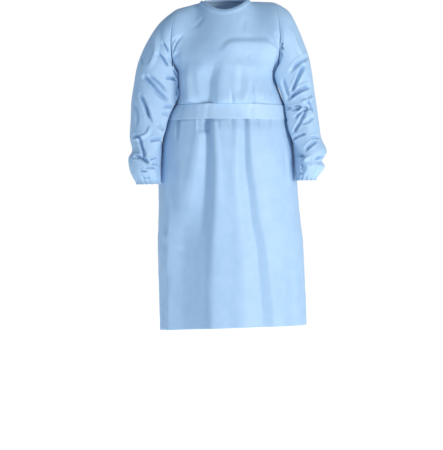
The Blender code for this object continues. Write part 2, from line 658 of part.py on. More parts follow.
def main():
    for item in list(bpy.data.objects):
        bpy.data.objects.remove(item)
    cloth = material("nonwoven_cloth", CLOTH_COLOUR)
    belt = material("belt_cloth", BELT_COLOUR)
    binding = material("binding_cloth", BINDING_COLOUR)

    # Columns run the same way round the wearer on both panels, so the back's start at the left.
    front = panel(shares_across(FRONT_SHOULDER_COLUMNS), 1)
    back_shares = shares_across(BACK_SHOULDER_COLUMNS)[::-1]
    back = panel(back_shares, -1)
    right, right_out, right_columns = sleeve(RIGHT_SLEEVE, RIGHT_SLEEVE_FOLDS)
    left, left_out, left_columns = sleeve(LEFT_SLEEVE, LEFT_SLEEVE_FOLDS)
    tape = neck_binding()
    front_out, back_out, tape_out = normals_of(front), normals_of(back), normals_of(tape)

    # Each seam has one direction for the walls on both of its sides.
    side_rows = slice(0, len(front) - YOKE_ROWS)
    share_seam(front_out[side_rows, 0], back_out[side_rows, -1])
    share_seam(front_out[side_rows, -1], back_out[side_rows, 0])
    fit_armhole(right_out[-1], right_columns, front_out[:, 0], back_out[:, -1])
    fit_armhole(left_out[-1], left_columns, front_out[:, -1], back_out[:, 0])
    fit_shoulders(front, front_out, FRONT_SHOULDER_COLUMNS)
    fit_shoulders(back, back_out, BACK_SHOULDER_COLUMNS)

    # The wearer's left back panel and its end of the binding are lifted over the right ones.
    half = NECK_COLUMNS // 2
    over_end = BACK_SHOULDER_COLUMNS + half + LAP_COLUMNS
    under_start = BACK_SHOULDER_COLUMNS + half - LAP_COLUMNS
    lift = LAP_STEP * (1 - ramp(back_shares, back_shares[under_start], NECK_SHARE[1]))
    over, over_out = back[:, : over_end + 1], back_out[:, : over_end + 1].copy()
    under, under_out = back[:, under_start:].copy(), back_out[:, under_start:].copy()
    front_neck = front_out[-1, FRONT_SHOULDER_COLUMNS : FRONT_SHOULDER_COLUMNS + NECK_COLUMNS + 1]
    over_neck = over_out[-1, BACK_SHOULDER_COLUMNS:]
    under_neck = under_out[-1, : half + LAP_COLUMNS + 1]
    tape_edge = tape_out[0]
    right_corner = half + LAP_COLUMNS
    left_corner = right_corner + NECK_COLUMNS
    tape_edge[: right_corner + 1] += under_neck
    tape_edge[right_corner : left_corner + 1] += front_neck
    tape_edge[left_corner:] += over_neck
    tape_edge[:] = unit(tape_edge)
    under_neck[:] = tape_edge[: right_corner + 1]
    front_neck[:] = tape_edge[right_corner : left_corner + 1]
    over_neck[:] = tape_edge[left_corner:]
    over = over + over_out * lift[None, : over_end + 1, None]
    tape[:, left_corner:] += over_neck * lift[BACK_SHOULDER_COLUMNS : over_end + 1, None]

    front_seams = (slice(0, FRONT_SHOULDER_COLUMNS + 1), slice(-FRONT_SHOULDER_COLUMNS - 1, None))
    open_panel(front, front_seams, (0, -1))
    open_panel(over, (slice(0, BACK_SHOULDER_COLUMNS + 1),), (0,))
    open_panel(under, (slice(-BACK_SHOULDER_COLUMNS - 1, None),), (-1,))
    open_seam(right[-1], right[-2], SEAM_GAP)
    open_seam(left[-1], left[-2], SEAM_GAP)

    cloth_object("front_panel", front, front_out, cloth)
    cloth_object("back_panel_left", over, over_out, cloth)
    cloth_object("back_panel_right", under, under_out, cloth)
    cloth_object("sleeve_right", right, right_out, cloth, around=True)
    cloth_object("sleeve_left", left, left_out, cloth, around=True)
    cuff("cuff_right", RIGHT_SLEEVE, cloth)
    cuff("cuff_left", LEFT_SLEEVE, cloth)
    cloth_object("neck_binding", tape, tape_out, binding, thickness=BINDING_WALL)
    belt_band(belt)
    belt_knot(belt)
    belt_tail("belt_tail_right", -1, belt)
    belt_tail("belt_tail_left", 1, belt)


main()
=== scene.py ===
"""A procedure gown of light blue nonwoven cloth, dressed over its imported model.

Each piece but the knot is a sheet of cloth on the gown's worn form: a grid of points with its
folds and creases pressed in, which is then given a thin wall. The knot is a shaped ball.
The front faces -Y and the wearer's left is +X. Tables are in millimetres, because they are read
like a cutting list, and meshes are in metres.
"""

import logging
import math
from dataclasses import dataclass, field, replace
from enum import Enum

import bpy
import numpy as np
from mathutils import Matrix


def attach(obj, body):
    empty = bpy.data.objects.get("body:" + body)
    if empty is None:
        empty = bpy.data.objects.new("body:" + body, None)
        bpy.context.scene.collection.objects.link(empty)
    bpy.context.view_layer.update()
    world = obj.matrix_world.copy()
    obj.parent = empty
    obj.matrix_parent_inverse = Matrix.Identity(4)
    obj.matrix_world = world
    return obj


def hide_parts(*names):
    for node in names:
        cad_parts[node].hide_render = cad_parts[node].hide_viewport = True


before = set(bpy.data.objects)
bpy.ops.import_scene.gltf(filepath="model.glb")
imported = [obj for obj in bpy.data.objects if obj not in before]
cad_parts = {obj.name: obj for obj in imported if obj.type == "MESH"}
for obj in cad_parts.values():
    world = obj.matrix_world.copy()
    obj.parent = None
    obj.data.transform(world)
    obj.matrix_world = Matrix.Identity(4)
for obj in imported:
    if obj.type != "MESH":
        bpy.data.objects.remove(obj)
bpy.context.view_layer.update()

MM = 0.001
TINY = 1e-12
LOG = logging.getLogger("procedure_gown")


class Facing(Enum):
    """The side of the gown that a place is seen from, with the sign of its depth."""

    FRONT = -1
    BACK = 1


class Side(Enum):
    """The wearer's right or left, with the sign of its place across the gown."""

    RIGHT = -1
    LEFT = 1


@dataclass(frozen=True)
class Section:
    """One level cut through the body of the gown, in millimetres from its middle line."""

    height: float
    right: float
    left: float
    front: float
    back: float


@dataclass(frozen=True)
class Ring:
    """One cut through a sleeve, from its outer to its inner point, in millimetres.

    Depth is half of the way from its front to its back, and forward is how far ahead of the
    body's middle line its own middle lies.
    """

    outer_x: float
    outer_z: float
    inner_x: float
    inner_z: float
    depth: float
    forward: float


@dataclass(frozen=True)
class Crease:
    """A trough, or a ridge where depth is negative, pressed along a path.

    The path holds places across and up the gown as they are seen straight from the front, or
    from behind. Left and right are the widths of its two flanks, as seen from outside by someone
    who follows the path down. Ease gives the shares of the path over which it starts and ends.
    Crest is the height of the rims beside a trough, as a share of its depth. Flat is half the
    width of its level bottom, flare multiplies the widths at its two ends, and bend is the radius
    at its bottom, in widths.
    """

    path: tuple[tuple[float, float], ...]
    depth: float
    left: float
    right: float
    ease: tuple[float, float] = (0.3, 0.3)
    crest: float = 0.12
    flat: float = 0.0
    flare: tuple[float, float] = (1.0, 1.0)
    bend: float = 0.1


# A section: its height, then how far it goes right, left, ahead and back.
BODY_SECTIONS: tuple[Section, ...] = (
    Section(-235, -168, 172.5, -150, 112),
    Section(-262, -166, 171, -153, 112),
    Section(-290, -163, 178, -157, 112),
    Section(-320, -162.5, 190, -159, 112),
    Section(-348, -171, 201.5, -148, 105),
    Section(-374, -185.5, 208, -147, 104),
    Section(-400, -196.5, 212.5, -150, 107),
    Section(-430, -204, 219, -160, 120),
    Section(-465, -209.5, 225.5, -166, 132),
    Section(-524, -215, 234, -171, 143),
    Section(-600, -222, 241, -175, 152),
    Section(-700, -222, 249, -178, 158),
    Section(-804, -225, 261, -181, 162),
    Section(-905, -223, 266, -184, 165),
    Section(-1005, -220, 271, -186, 167),
    Section(-1105, -217, 274, -187, 168),
)

# A ring: its outer point across and up, its inner point, its depth, and how far ahead it is.
RIGHT_SLEEVE_RINGS: tuple[Ring, ...] = (
    Ring(-164, -26, -168, -235, 84, 0),
    Ring(-201, -55, -168.5, -246, 84, 4),
    Ring(-228, -83, -168.7, -260, 83, 4),
    Ring(-258, -130, -166.8, -274, 81, 5),
    Ring(-281, -178, -165.4, -290, 79, 6),
    Ring(-295, -221, -163.5, -308, 77, 8),
    Ring(-305, -278, -166, -330, 75, 10),
    Ring(-313, -335, -182, -357, 72, 14),
    Ring(-315, -395, -201.5, -405, 68, 22),
    Ring(-317, -456, -208.5, -462, 64, 34),
    Ring(-309, -499, -210.5, -507, 60, 46),
    Ring(-321, -528, -213, -542, 58, 56),
    Ring(-314, -570, -213, -574, 50, 66),
    Ring(-296, -603, -213, -601, 34, 74),
)
LEFT_SLEEVE_RINGS: tuple[Ring, ...] = (
    Ring(165, -2, 172.5, -235, 84, 0),
    Ring(191, -16, 174.3, -248, 84, 4),
    Ring(218, -38, 175.2, -261, 83, 4),
    Ring(245, -91, 176, -275, 81, 5),
    Ring(265, -141, 180.3, -291, 79, 6),
    Ring(280, -184, 189.5, -311, 76, 8),
    Ring(290, -234, 199, -333, 73, 10),
    Ring(298, -295, 208.8, -360, 70, 14),
    Ring(306, -352, 214.3, -395, 67, 22),
    Ring(313, -405, 219.7, -435, 64, 31),
    Ring(320, -456, 225.5, -476, 61, 40),
    Ring(338, -502, 230, -511, 59, 49),
    Ring(322, -534, 231.5, -538, 54, 56),
    Ring(330, -554, 232.5, -560, 50, 61),
    Ring(305, -588, 236.5, -590, 33, 68),
)

# A crease: its path, its depth, the widths of its left and right flanks, and its ease.
BODICE_CREASES: tuple[Crease, ...] = (
    Crease(
        ((-26, -181), (-40, -232), (-54, -285), (-64, -342)),
        14, 50, 38, (0.55, 0.0), flare=(0.6, 1.0),
    ),
    Crease(((-112, -205), (-117, -262), (-114, -342)), -6, 24, 18, (0.5, 0.0)),
    Crease(
        ((-126, -120), (-130, -220), (-128, -345)),
        -9, 32, 84, (0.35, 0.0), crest=0.0, bend=1.0,
    ),
    Crease(((-144, -221), (-139, -286), (-134, -345)), 7, 12, 11, (0.6, 0.0)),
    Crease(((84, -266), (89, -306), (95, -348)), 5, 8, 11, (0.5, 0.0)),
    Crease(((71, -312), (73, -348)), 4, 6, 7, (0.5, 0.0)),
    Crease(((87, -175), (74, -194), (87, -214)), 2.5, 6, 9, (0.4, 0.5)),
    Crease(((143, -266), (153, -322)), 5, 8, 10, (0.5, 0.3)),
    Crease(((52, -207), (54, -273), (44, -332)), 4, 18, 18, (0.5, 0.2)),
    Crease(
        ((-15, -194), (2, -168), (26, -153), (92, -149), (154, -152), (177, -178)),
        -7, 44, 16, (0.25, 0.2),
    ),
    Crease(((-168, -162), (-154, -139), (-132, -119)), 8, 10, 9, (0.0, 0.6)),
    Crease(((-172, -142), (-160, -134), (-147, -113)), 5, 6, 7, (0.0, 0.6)),
    Crease(((-176, -196), (-160, -186), (-136, -182)), 4, 7, 9, (0.0, 0.7)),
    Crease(((181, -158), (164, -144), (137, -132)), 8, 9, 10, (0.0, 0.6)),
    Crease(((186, -128), (172, -120), (158, -118)), 4, 7, 6, (0.0, 0.7)),
    Crease(((183, -181), (168, -214), (162, -266), (167, -306)), 7, 10, 14, (0.0, 0.5)),
    Crease(((-69, -54), (-95, -83), (-124, -100)), 3, 9, 11, (0.3, 0.6)),
    Crease(((69, -50), (59, -96), (62, -136)), 2.5, 14, 12, (0.3, 0.6)),
    Crease(((-95, -227), (-85, -279), (-88, -338)), -2, 14, 12, (0.5, 0.2)),
    Crease(((121, -240), (124, -299), (121, -345)), -3, 14, 11, (0.5, 0.2)),
    Crease(((18, -300), (22, -346)), 4, 7, 9, (0.6, 0.0)),
)
SKIRT_CREASES: tuple[Crease, ...] = (
    Crease(
        ((-55, -392), (-54, -454), (-57, -503), (-62, -568), (-65, -633), (-78, -731), (-96, -828)),
        21, 55, 38, (0.0, 0.45), flare=(0.4, 1.2),
    ),
    Crease(
        ((-126, -580), (-134, -714), (-140, -828), (-146, -959), (-140, -1102)),
        24, 68, 104, (0.45, 0.0), crest=0.0, bend=1.0,
    ),
    Crease(
        ((-40, -392), (-36, -454), (-31, -503), (-26, -568), (-27, -633), (-31, -731),
         (-35, -830), (-38, -1000), (-38, -1102)),
        -7, 30, 56, (0.0, 0.0), crest=0.0,
    ),
    Crease(
        ((68, -392), (68, -503), (70, -568), (79, -633), (90, -731), (106, -828), (113, -926),
         (121, -1024), (124, -1102)),
        11, 55, 34, (0.0, 0.0), flare=(0.35, 1.1),
    ),
    Crease(((-73, -392), (-72, -450)), 8, 6, 7, (0.0, 0.35), flat=14),
    Crease(((-153, -392), (-156, -431), (-161, -480)), 8, 9, 11, (0.0, 0.5)),
    Crease(((-176, -500), (-179, -640), (-186, -757)), 9, 34, 30, (0.5, 0.5)),
    Crease(((-205, -763), (-179, -802), (-153, -835)), -5, 26, 20, (0.4, 0.4)),
    Crease(((199, -451), (208, -552), (216, -653)), -5, 14, 10, (0.4, 0.5)),
    Crease(((-25, -395), (-18, -438)), 4, 5, 7, (0.0, 0.6)),
    Crease(((146, -395), (150, -440)), 4, 7, 7, (0.0, 0.6)),
    Crease(((106, -395), (110, -425)), 3, 6, 5, (0.0, 0.7)),
    Crease(((22, -395), (26, -450)), 3, 7, 8, (0.0, 0.7)),
    Crease(((215, -763), (221, -926), (225, -1102)), 6, 30, 26, (0.5, 0.0)),
    Crease(((26, -503), (33, -601), (23, -714)), -2, 24, 22, (0.5, 0.5)),
    Crease(((-196, -880), (-204, -980), (-206, -1102)), 7, 26, 24, (0.4, 0.0)),
)
RIGHT_SLEEVE_CREASES: tuple[Crease, ...] = (
    Crease(((-211, -140), (-186, -176)), 10.8, 6, 6, (0.28, 0.16)),
    Crease(((-228, -176), (-208, -193), (-185, -222)), 12.2, 8, 6, (0.28, 0.16)),
    Crease(((-274, -250), (-244, -278), (-214, -313), (-188, -338)), 17.6, 12, 8, (0.14, 0.24)),
    Crease(((-257, -247), (-221, -277), (-195, -308)), 10.8, 6, 6, (0.21, 0.24)),
    Crease(((-284, -308), (-267, -348), (-248, -400)), 16.2, 10, 8, (0.21, 0.24)),
    Crease(((-267, -341), (-239, -415)), 8.1, 6, 6, (0.21, 0.24)),
    Crease(((-205, -354), (-172, -354)), 12.2, 6, 6, (0.28, 0.08)),
    Crease(((-214, -374), (-182, -384)), 8.1, 6, 6, (0.28, 0.16)),
    Crease(((-251, -468), (-224, -462), (-203, -466)), 13.5, 8, 6, (0.21, 0.16)),
    Crease(((-306, -453), (-284, -460), (-274, -496), (-266, -528)), 16.2, 8, 8, (0.14, 0.16)),
    Crease(((-305, -519), (-277, -524), (-248, -544)), 21.6, 9, 6, (0.2, 0.24)),
    Crease(((-264, -559), (-228, -559)), 10.8, 4, 4, (0.21, 0.24)),
    Crease(((-282, -569), (-257, -570)), 10.8, 4, 4, (0.21, 0.24)),
    Crease(((-274, -592), (-244, -592)), 10.8, 4, 4, (0.21, 0.24)),
    Crease(((-248, -532), (-224, -523)), 8.1, 4, 4, (0.21, 0.24)),
    Crease(((-241, -546), (-218, -546)), 8.1, 4, 4, (0.21, 0.24)),
    Crease(((-178, -222), (-168, -268), (-160, -321)), 13.5, 9, 9, (0.28, 0.16)),
    Crease(((-198, -259), (-162, -265)), 12.2, 6, 6, (0.28, 0.08)),
    Crease(((-274, -183), (-272, -216)), 5.4, 6, 4, (0.28, 0.32)),
    Crease(((-223, -84), (-229, -150), (-241, -202), (-267, -232)), -6, 12, 16, (0.28, 0.24)),
    Crease(((-300, -334), (-290, -381), (-294, -427)), 6.8, 9, 9, (0.28, 0.32)),
    Crease(((-224, -414), (-201, -434)), 8.1, 6, 6, (0.28, 0.16)),
    Crease(((-248, -414), (-261, -447), (-300, -466)), -7.2, 6, 9, (0.21, 0.16)),
)
LEFT_SLEEVE_CREASES: tuple[Crease, ...] = (
    Crease(((280, -176), (244, -209), (206, -249)), 13.5, 9, 9, (0.5, 0.32)),
    Crease(((264, -209), (238, -262), (214, -318)), 16.2, 9, 9, (0.21, 0.24)),
    Crease(((284, -285), (248, -303), (211, -330)), 21.6, 10, 8, (0.25, 0.16)),
    Crease(((267, -331), (282, -348), (292, -374)), 17.6, 6, 8, (0.21, 0.24)),
    Crease(((195, -358), (221, -360), (251, -356)), 13.5, 6, 6, (0.03, 0.24)),
    Crease(((274, -359), (251, -374), (228, -397)), 10.8, 6, 6, (0.21, 0.24)),
    Crease(((267, -362), (251, -400), (224, -443)), 13.5, 6, 8, (0.21, 0.16)),
    Crease(((221, -466), (251, -448), (267, -447)), 13.5, 6, 6, (0.14, 0.24)),
    Crease(((280, -458), (310, -455)), 13.5, 6, 6, (0.21, 0.08)),
    Crease(((261, -503), (284, -480), (304, -466)), 13.5, 6, 6, (0.21, 0.16)),
    Crease(((233, -506), (244, -516), (261, -521)), 16.2, 6, 6, (0.07, 0.32)),
    Crease(((172, -146), (182, -160), (195, -166)), 10.8, 4, 4, (0.07, 0.32)),
    Crease(((190, -143), (182, -173), (188, -196)), 10.8, 4, 6, (0.07, 0.32)),
    Crease(((178, -196), (173, -236), (178, -282)), 13.5, 6, 9, (0.14, 0.24)),
    Crease(((186, -262), (198, -295), (212, -338)), 9, 8, 9, (0.21, 0.16)),
    Crease(((234, -572), (251, -579), (264, -574)), 12.2, 6, 6, (0.07, 0.32)),
    Crease(((276, -513), (271, -552), (264, -595)), -7.2, 10, 14, (0.21, 0.08)),
    Crease(((340, -519), (307, -526), (287, -532)), 17.6, 8, 6, (0.5, 0.4)),
    Crease(((214, -84), (238, -143), (264, -202)), -4.8, 18, 14, (0.28, 0.24)),
    Crease(((290, -321), (274, -334), (248, -338)), -7.2, 6, 8, (0.14, 0.24)),
    Crease(((294, -387), (274, -407), (248, -414)), 8.1, 8, 6, (0.21, 0.24)),
    Crease(((205, -394), (218, -427), (224, -460)), 10.8, 6, 6, (0.21, 0.24)),
    Crease(((248, -539), (248, -566)), 8.1, 4, 6, (0.28, 0.24)),
)
BACK_CREASES: tuple[Crease, ...] = (
    Crease(((152, -392), (163, -520), (178, -760), (190, -1110)), 17, 27, 44, (0.0, 0.0)),
    Crease(((84, -392), (90, -540), (100, -800), (104, -1110)), 12, 41, 22, (0.0, 0.0)),
    Crease(((26, -420), (30, -560), (34, -720), (36, -900)), 7, 24, 31, (0.3, 0.5)),
    Crease(((-78, -392), (-92, -560), (-108, -820), (-118, -1110)), 15, 20, 48, (0.0, 0.0)),
    Crease(((-150, -392), (-168, -540), (-184, -780), (-196, -1110)), 13, 34, 20, (0.0, 0.0)),
    Crease(((-34, -430), (-42, -600), (-50, -760)), 5, 24, 20, (0.3, 0.5)),
    Crease(((118, -410), (124, -560), (140, -760)), -5, 27, 24, (0.3, 0.5)),
    Crease(((-112, -410), (-128, -600), (-146, -860)), -5, 24, 31, (0.3, 0.4)),
    Crease(((62, -840), (66, -960), (70, -1110)), 6, 31, 27, (0.5, 0.0)),
    Crease(((-70, -850), (-74, -980), (-76, -1110)), 6, 27, 31, (0.5, 0.0)),
    Crease(((118, -150), (104, -230), (96, -300), (98, -350)), 9, 24, 20, (0.5, 0.0)),
    Crease(((-112, -140), (-100, -230), (-92, -300), (-96, -350)), 9, 20, 26, (0.5, 0.0)),
    Crease(((50, -236), (48, -290), (52, -350)), 6, 15, 19, (0.5, 0.0)),
    Crease(((-48, -246), (-52, -300), (-50, -350)), 5, 19, 14, (0.5, 0.0)),
    Crease(((142, -262), (140, -310), (146, -350)), 6, 14, 15, (0.5, 0.0)),
    Crease(((-138, -270), (-136, -310), (-142, -350)), 6, 15, 14, (0.5, 0.0)),
    Crease(((166, -150), (136, -128), (104, -120)), 6, 14, 15, (0.0, 0.6)),
    Crease(((-164, -156), (-134, -132), (-100, -126)), 6, 15, 14, (0.0, 0.6)),
    Crease(((-92, -48), (0, -66), (94, -42)), -3, 44, 24, (0.3, 0.3)),
    Crease(((18, -300), (16, -350)), 3, 8, 10, (0.6, 0.0)),
)
SLEEVE_BACK_CREASES: tuple[Crease, ...] = (
    Crease(((-178, -96), (-196, -128), (-204, -160)), 7, 9, 9, (0.2, 0.5)),
    Crease(((-264, -276), (-252, -296), (-204, -330)), 12, 12, 9, (0.2, 0.3)),
    Crease(((-272, -318), (-256, -338), (-206, -356)), 8, 9, 9, (0.3, 0.3)),
    Crease(((-208, -238), (-240, -262), (-270, -286)), 7, 9, 9, (0.2, 0.4)),
    Crease(((-280, -396), (-268, -402), (-222, -398)), 12, 11, 9, (0.2, 0.3)),
    Crease(((-232, -440), (-266, -456), (-278, -460)), 9, 9, 9, (0.2, 0.3)),
    Crease(((-286, -502), (-276, -510), (-240, -500)), 11, 9, 9, (0.1, 0.3)),
    Crease(((-284, -544), (-280, -552), (-246, -556)), 9, 7, 7, (0.2, 0.3)),
    Crease(((-262, -350), (-270, -380), (-262, -420)), 5, 9, 9, (0.4, 0.4)),
    Crease(((-252, -180), (-262, -230), (-268, -272)), -4, 17, 15, (0.4, 0.4)),
    Crease(((-280, -578), (-272, -584), (-246, -582)), 5, 6, 6, (0.3, 0.3)),
)
BELT_CREASES: tuple[Crease, ...] = (
    Crease(((-52, -346), (-58, -372), (-60, -398)), 1.6, 10, 14, (0.1, 0.1)),
    Crease(((-96, -350), (-92, -374), (-94, -398)), -1, 14, 14, (0.2, 0.2)),
    Crease(((-140, -352), (-148, -374), (-150, -398)), 1.2, 9, 12, (0.1, 0.3)),
    Crease(((24, -360), (34, -380), (48, -394)), 0.9, 12, 12, (0.3, 0.3)),
    Crease(((92, -350), (86, -372), (84, -398)), 1.2, 10, 12, (0.1, 0.1)),
    Crease(((140, -352), (146, -374), (144, -398)), 0.9, 10, 12, (0.3, 0.2)),
)


def mirrored(creases: tuple[Crease, ...], rise: float) -> tuple[Crease, ...]:
    """The same creases on the other side of the gown.

    Args:
        creases: What to mirror.
        rise: How much higher they lie there, in millimetres.

    Returns:
        The mirrored creases.
    """
    return tuple(
        replace(
            crease,
            path=tuple((-across, up + rise) for across, up in crease.path),
            left=crease.right,
            right=crease.left,
        )
        for crease in creases
    )


def curve_through(at: np.ndarray, places: np.ndarray, values: np.ndarray) -> np.ndarray:
    """Reads a smooth curve through a table's values, with slopes from the neighbours.

    Args:
        at: Where to read the curve.
        places: The table's places, rising or falling.
        values: The table's values.

    Returns:
        The curve's value at each place asked for.
    """
    places = np.asarray(places, float)
    values = np.asarray(values, float)
    if places[0] > places[-1]:
        places = places[::-1]
        values = values[::-1]
    slopes = np.gradient(values, places)
    at = np.clip(np.asarray(at, float), places[0], places[-1])
    left = np.clip(np.searchsorted(places, at) - 1, 0, len(places) - 2)
    span = places[left + 1] - places[left]
    t = (at - places[left]) / span
    rise = values[left] * (1 + 2 * t) * (1 - t) ** 2 + values[left + 1] * t * t * (3 - 2 * t)
    lean = slopes[left] * t * (1 - t) ** 2 + slopes[left + 1] * t * t * (t - 1)
    return rise + lean * span


def ramp(value: np.ndarray | float, start: float, end: float) -> np.ndarray:
    """Rises smoothly from 0 before start to 1 after end.

    Args:
        value: Where to read the ramp.
        start: Where it leaves 0.
        end: Where it reaches 1.

    Returns:
        A share from 0 to 1.
    """
    t = np.clip((np.asarray(value, float) - start) / (end - start), 0, 1)
    return t * t * (3 - 2 * t)


def unit(vectors: np.ndarray) -> np.ndarray:
    """The same directions at length one."""
    return vectors / np.maximum(np.linalg.norm(vectors, axis=-1, keepdims=True), TINY)


def wobble(at: np.ndarray, waves: tuple[float, ...], seed: int) -> np.ndarray:
    """An uneven wave from -1 to 1, the same on each run.

    Args:
        at: Where to read it, in radians or metres.
        waves: The numbers of turns for each unit of at.
        seed: Chooses the phases.

    Returns:
        The sum of the waves, scaled back to about -1 to 1.
    """
    phases = np.random.default_rng(seed).uniform(0, 2 * math.pi, len(waves))
    total = sum(np.sin(wave * at + phase) for wave, phase in zip(waves, phases))
    return total / len(waves)


@dataclass(frozen=True)
class GownForm:
    """The worn form of the gown, without its folds; lengths are in metres."""

    underarm: float = -235 * MM
    belt_top: float = -348 * MM
    belt_bottom: float = -400 * MM
    hem: float = -1089 * MM
    hem_rise_to_left: float = 9 * MM
    hem_rise_in_front: float = 6 * MM
    hem_blend: float = 250 * MM
    hem_half_width: float = 250 * MM
    neck_half_width: float = 78 * MM
    neck_front: float = 80 * MM
    neck_back: float = 62 * MM
    neck_front_drop: float = 40 * MM
    neck_back_rise: float = 8 * MM
    neck_side_height: float = 6 * MM
    shoulder_tilt: float = 0.03
    binding_out: float = 7 * MM
    binding_down: float = 6 * MM
    neck_share: tuple[float, float] = (0.3125, 0.6875)
    neck_blend: float = 0.12
    chest_lift: float = 0.20
    shoulder_roll: float = 0.105
    neck_roll_loss: float = 0.45
    neck_roll_rise: float = 0.084
    armhole_reach: float = 0.36
    armhole_grip: float = 1.5
    armhole_bow: float = 13 * MM
    armhole_bow_ends: float = 0.25
    overhang: float = 13 * MM
    overhang_share: float = 0.27
    overhang_angle: float = math.radians(132)
    overhang_width: float = math.radians(20)
    overhang_starts: tuple[float, float] = (0.07, 0.22)
    overhang_ends: tuple[float, float] = (0.62, 0.8)
    lap_step: float = 2.4 * MM

    def body_size(self, height: np.ndarray, name: str) -> np.ndarray:
        """One size of the body's section at each height.

        Args:
            height: Heights in metres.
            name: Which size of the section.

        Returns:
            The sizes, in metres.
        """
        heights = [row.height for row in BODY_SECTIONS]
        sizes = [getattr(row, name) for row in BODY_SECTIONS]
        return curve_through(height / MM, heights, sizes) * MM

    def body_point(self, angle: np.ndarray, height: np.ndarray) -> np.ndarray:
        """A point of the body below the underarm.

        Args:
            angle: Radians round the body from the centre front, positive to the wearer's left.
            height: Height in metres.

        Returns:
            The points, in metres.
        """
        right, left = self.body_size(height, "right"), self.body_size(height, "left")
        front, back = self.body_size(height, "front"), self.body_size(height, "back")
        ahead = np.cos(angle)
        x = (left + right) / 2 + (left - right) / 2 * np.sin(angle)
        return np.stack([x, -np.where(ahead > 0, -front, back) * ahead, height + 0 * x], axis=-1)

    def neck_point(self, angle: np.ndarray, outward: float, down: float) -> np.ndarray:
        """A point of the neck opening, or of a curve outward of it and below it.

        Args:
            angle: Radians round the opening from the centre front.
            outward: How far outward of the opening, in metres.
            down: How far below it, in metres.

        Returns:
            The points, in metres.
        """
        ahead = np.cos(angle)
        reach = np.where(ahead > 0, self.neck_front, self.neck_back) + outward
        x = (self.neck_half_width + outward) * np.sin(angle)
        rise = np.where(ahead > 0, -self.neck_front_drop, self.neck_back_rise) * ahead**2
        height = self.neck_side_height + rise + self.shoulder_tilt * x - down
        return np.stack([x, -reach * ahead, height], axis=-1)

    def armhole_point(self, rings: tuple[Ring, ...], angle: np.ndarray) -> np.ndarray:
        """A point of an armhole seam.

        Args:
            rings: The cuts of the sleeve that is sewn there.
            angle: Radians round the seam: 0 at the shoulder and pi at the underarm.

        Returns:
            The points, in metres.
        """
        first = rings[0]
        outer = np.array([first.outer_x, 0, first.outer_z]) * MM
        inner = np.array([first.inner_x, 0, first.inner_z]) * MM
        middle = (outer + inner) / 2
        middle[1] = -first.forward * MM
        turn = np.asarray(angle)[..., None]
        point = middle + np.cos(turn) * (outer - inner) / 2
        bow = math.copysign(self.armhole_bow, first.outer_x) * np.sin(turn) ** 2
        deep = np.sin(turn) * np.array([0, first.depth * MM, 0])
        return point + bow * np.array([1.0, 0, 0]) - deep

    def top_edge(self, across: np.ndarray, facing: Facing) -> np.ndarray:
        """The upper edge of the front or the back: shoulder seam, neckline, shoulder seam.

        Args:
            across: Share of the width, 0 at the wearer's right and 1 at the left.
            facing: The front or the back.

        Returns:
            The points, in metres.
        """
        low, high = self.neck_share
        turn = (np.clip(across, low, high) - low) / (high - low) * 2 - 1
        angle = turn * math.pi / 2
        if facing is Facing.BACK:
            angle = math.pi - angle
        neck = self.neck_point(angle, self.binding_out, self.binding_down)
        right_end = self.armhole_point(RIGHT_SLEEVE_RINGS, np.zeros_like(across))
        left_end = self.armhole_point(LEFT_SLEEVE_RINGS, np.zeros_like(across))
        right_share = np.clip(1 - across / low, 0, 1)[..., None]
        left_share = np.clip((across - high) / (1 - high), 0, 1)[..., None]
        return neck + right_share * (right_end - neck) + left_share * (left_end - neck)

    def side_angle(self, across: np.ndarray, facing: Facing) -> np.ndarray:
        """The angle round the body of a place across the front or the back."""
        angle = (across - 0.5) * math.pi
        return angle if facing is Facing.FRONT else math.pi - angle

    def yoke_point(self, across: np.ndarray, up: np.ndarray, facing: Facing) -> np.ndarray:
        """A point above the underarm.

        Args:
            across: Share of the width, 0 at the wearer's right and 1 at the left.
            up: Share of the way from the underarm to the shoulder.
            facing: The front or the back.

        Returns:
            The points, in metres.
        """
        low, high = self.neck_share
        blend = self.neck_blend
        over_neck = ramp(across, low - blend, low + blend)
        over_neck = over_neck * (1 - ramp(across, high - blend, high + blend))
        zero = 0 * across
        rise = np.stack([zero, zero, zero + self.chest_lift], axis=-1)
        level = -facing.value * self.shoulder_roll * (1 - self.neck_roll_loss * over_neck)
        roll = np.stack([zero, level, self.neck_roll_rise * over_neck], axis=-1)

        def column(base: np.ndarray, edge: np.ndarray) -> np.ndarray:
            """The curve up from the underarm's level.

            Args:
                base: Its lower end.
                edge: Its upper end, on the panel's upper edge.

            Returns:
                The points, in metres.
            """
            t = up[..., None]
            ends = base * (1 + 2 * t) * (1 - t) ** 2 + edge * t * t * (3 - 2 * t)
            return ends + rise * t * (1 - t) ** 2 + roll * t * t * (t - 1)

        level_of = np.full_like(across, self.underarm)
        bottom = self.body_point(self.side_angle(across, facing), level_of)
        point = column(bottom, self.top_edge(across, facing))
        turn = math.pi * (1 - up) * -facing.value
        for rings, share, edge in (
            (RIGHT_SLEEVE_RINGS, 1 - across / self.armhole_reach, 0.0),
            (LEFT_SLEEVE_RINGS, 1 - (1 - across) / self.armhole_reach, 1.0),
        ):
            side = np.full_like(across, edge)
            side_bottom = self.body_point(self.side_angle(side, facing), level_of)
            plain = column(side_bottom, self.top_edge(side, facing))
            weight = ramp(share, 0, 1)[..., None] ** self.armhole_grip
            point = point + weight * (self.armhole_point(rings, turn) - plain)
        return point

    def sleeve_point(
        self,
        rings: tuple[Ring, ...],
        down: np.ndarray,
        angle: np.ndarray,
    ) -> np.ndarray:
        """A point of a sleeve.

        Args:
            rings: The sleeve's cuts.
            down: Share of its length, 0 at the armhole.
            angle: Radians round it: 0 outside, pi / 2 in front and pi at the body.

        Returns:
            The points, in metres.
        """
        places = np.linspace(0, 1, len(rings))

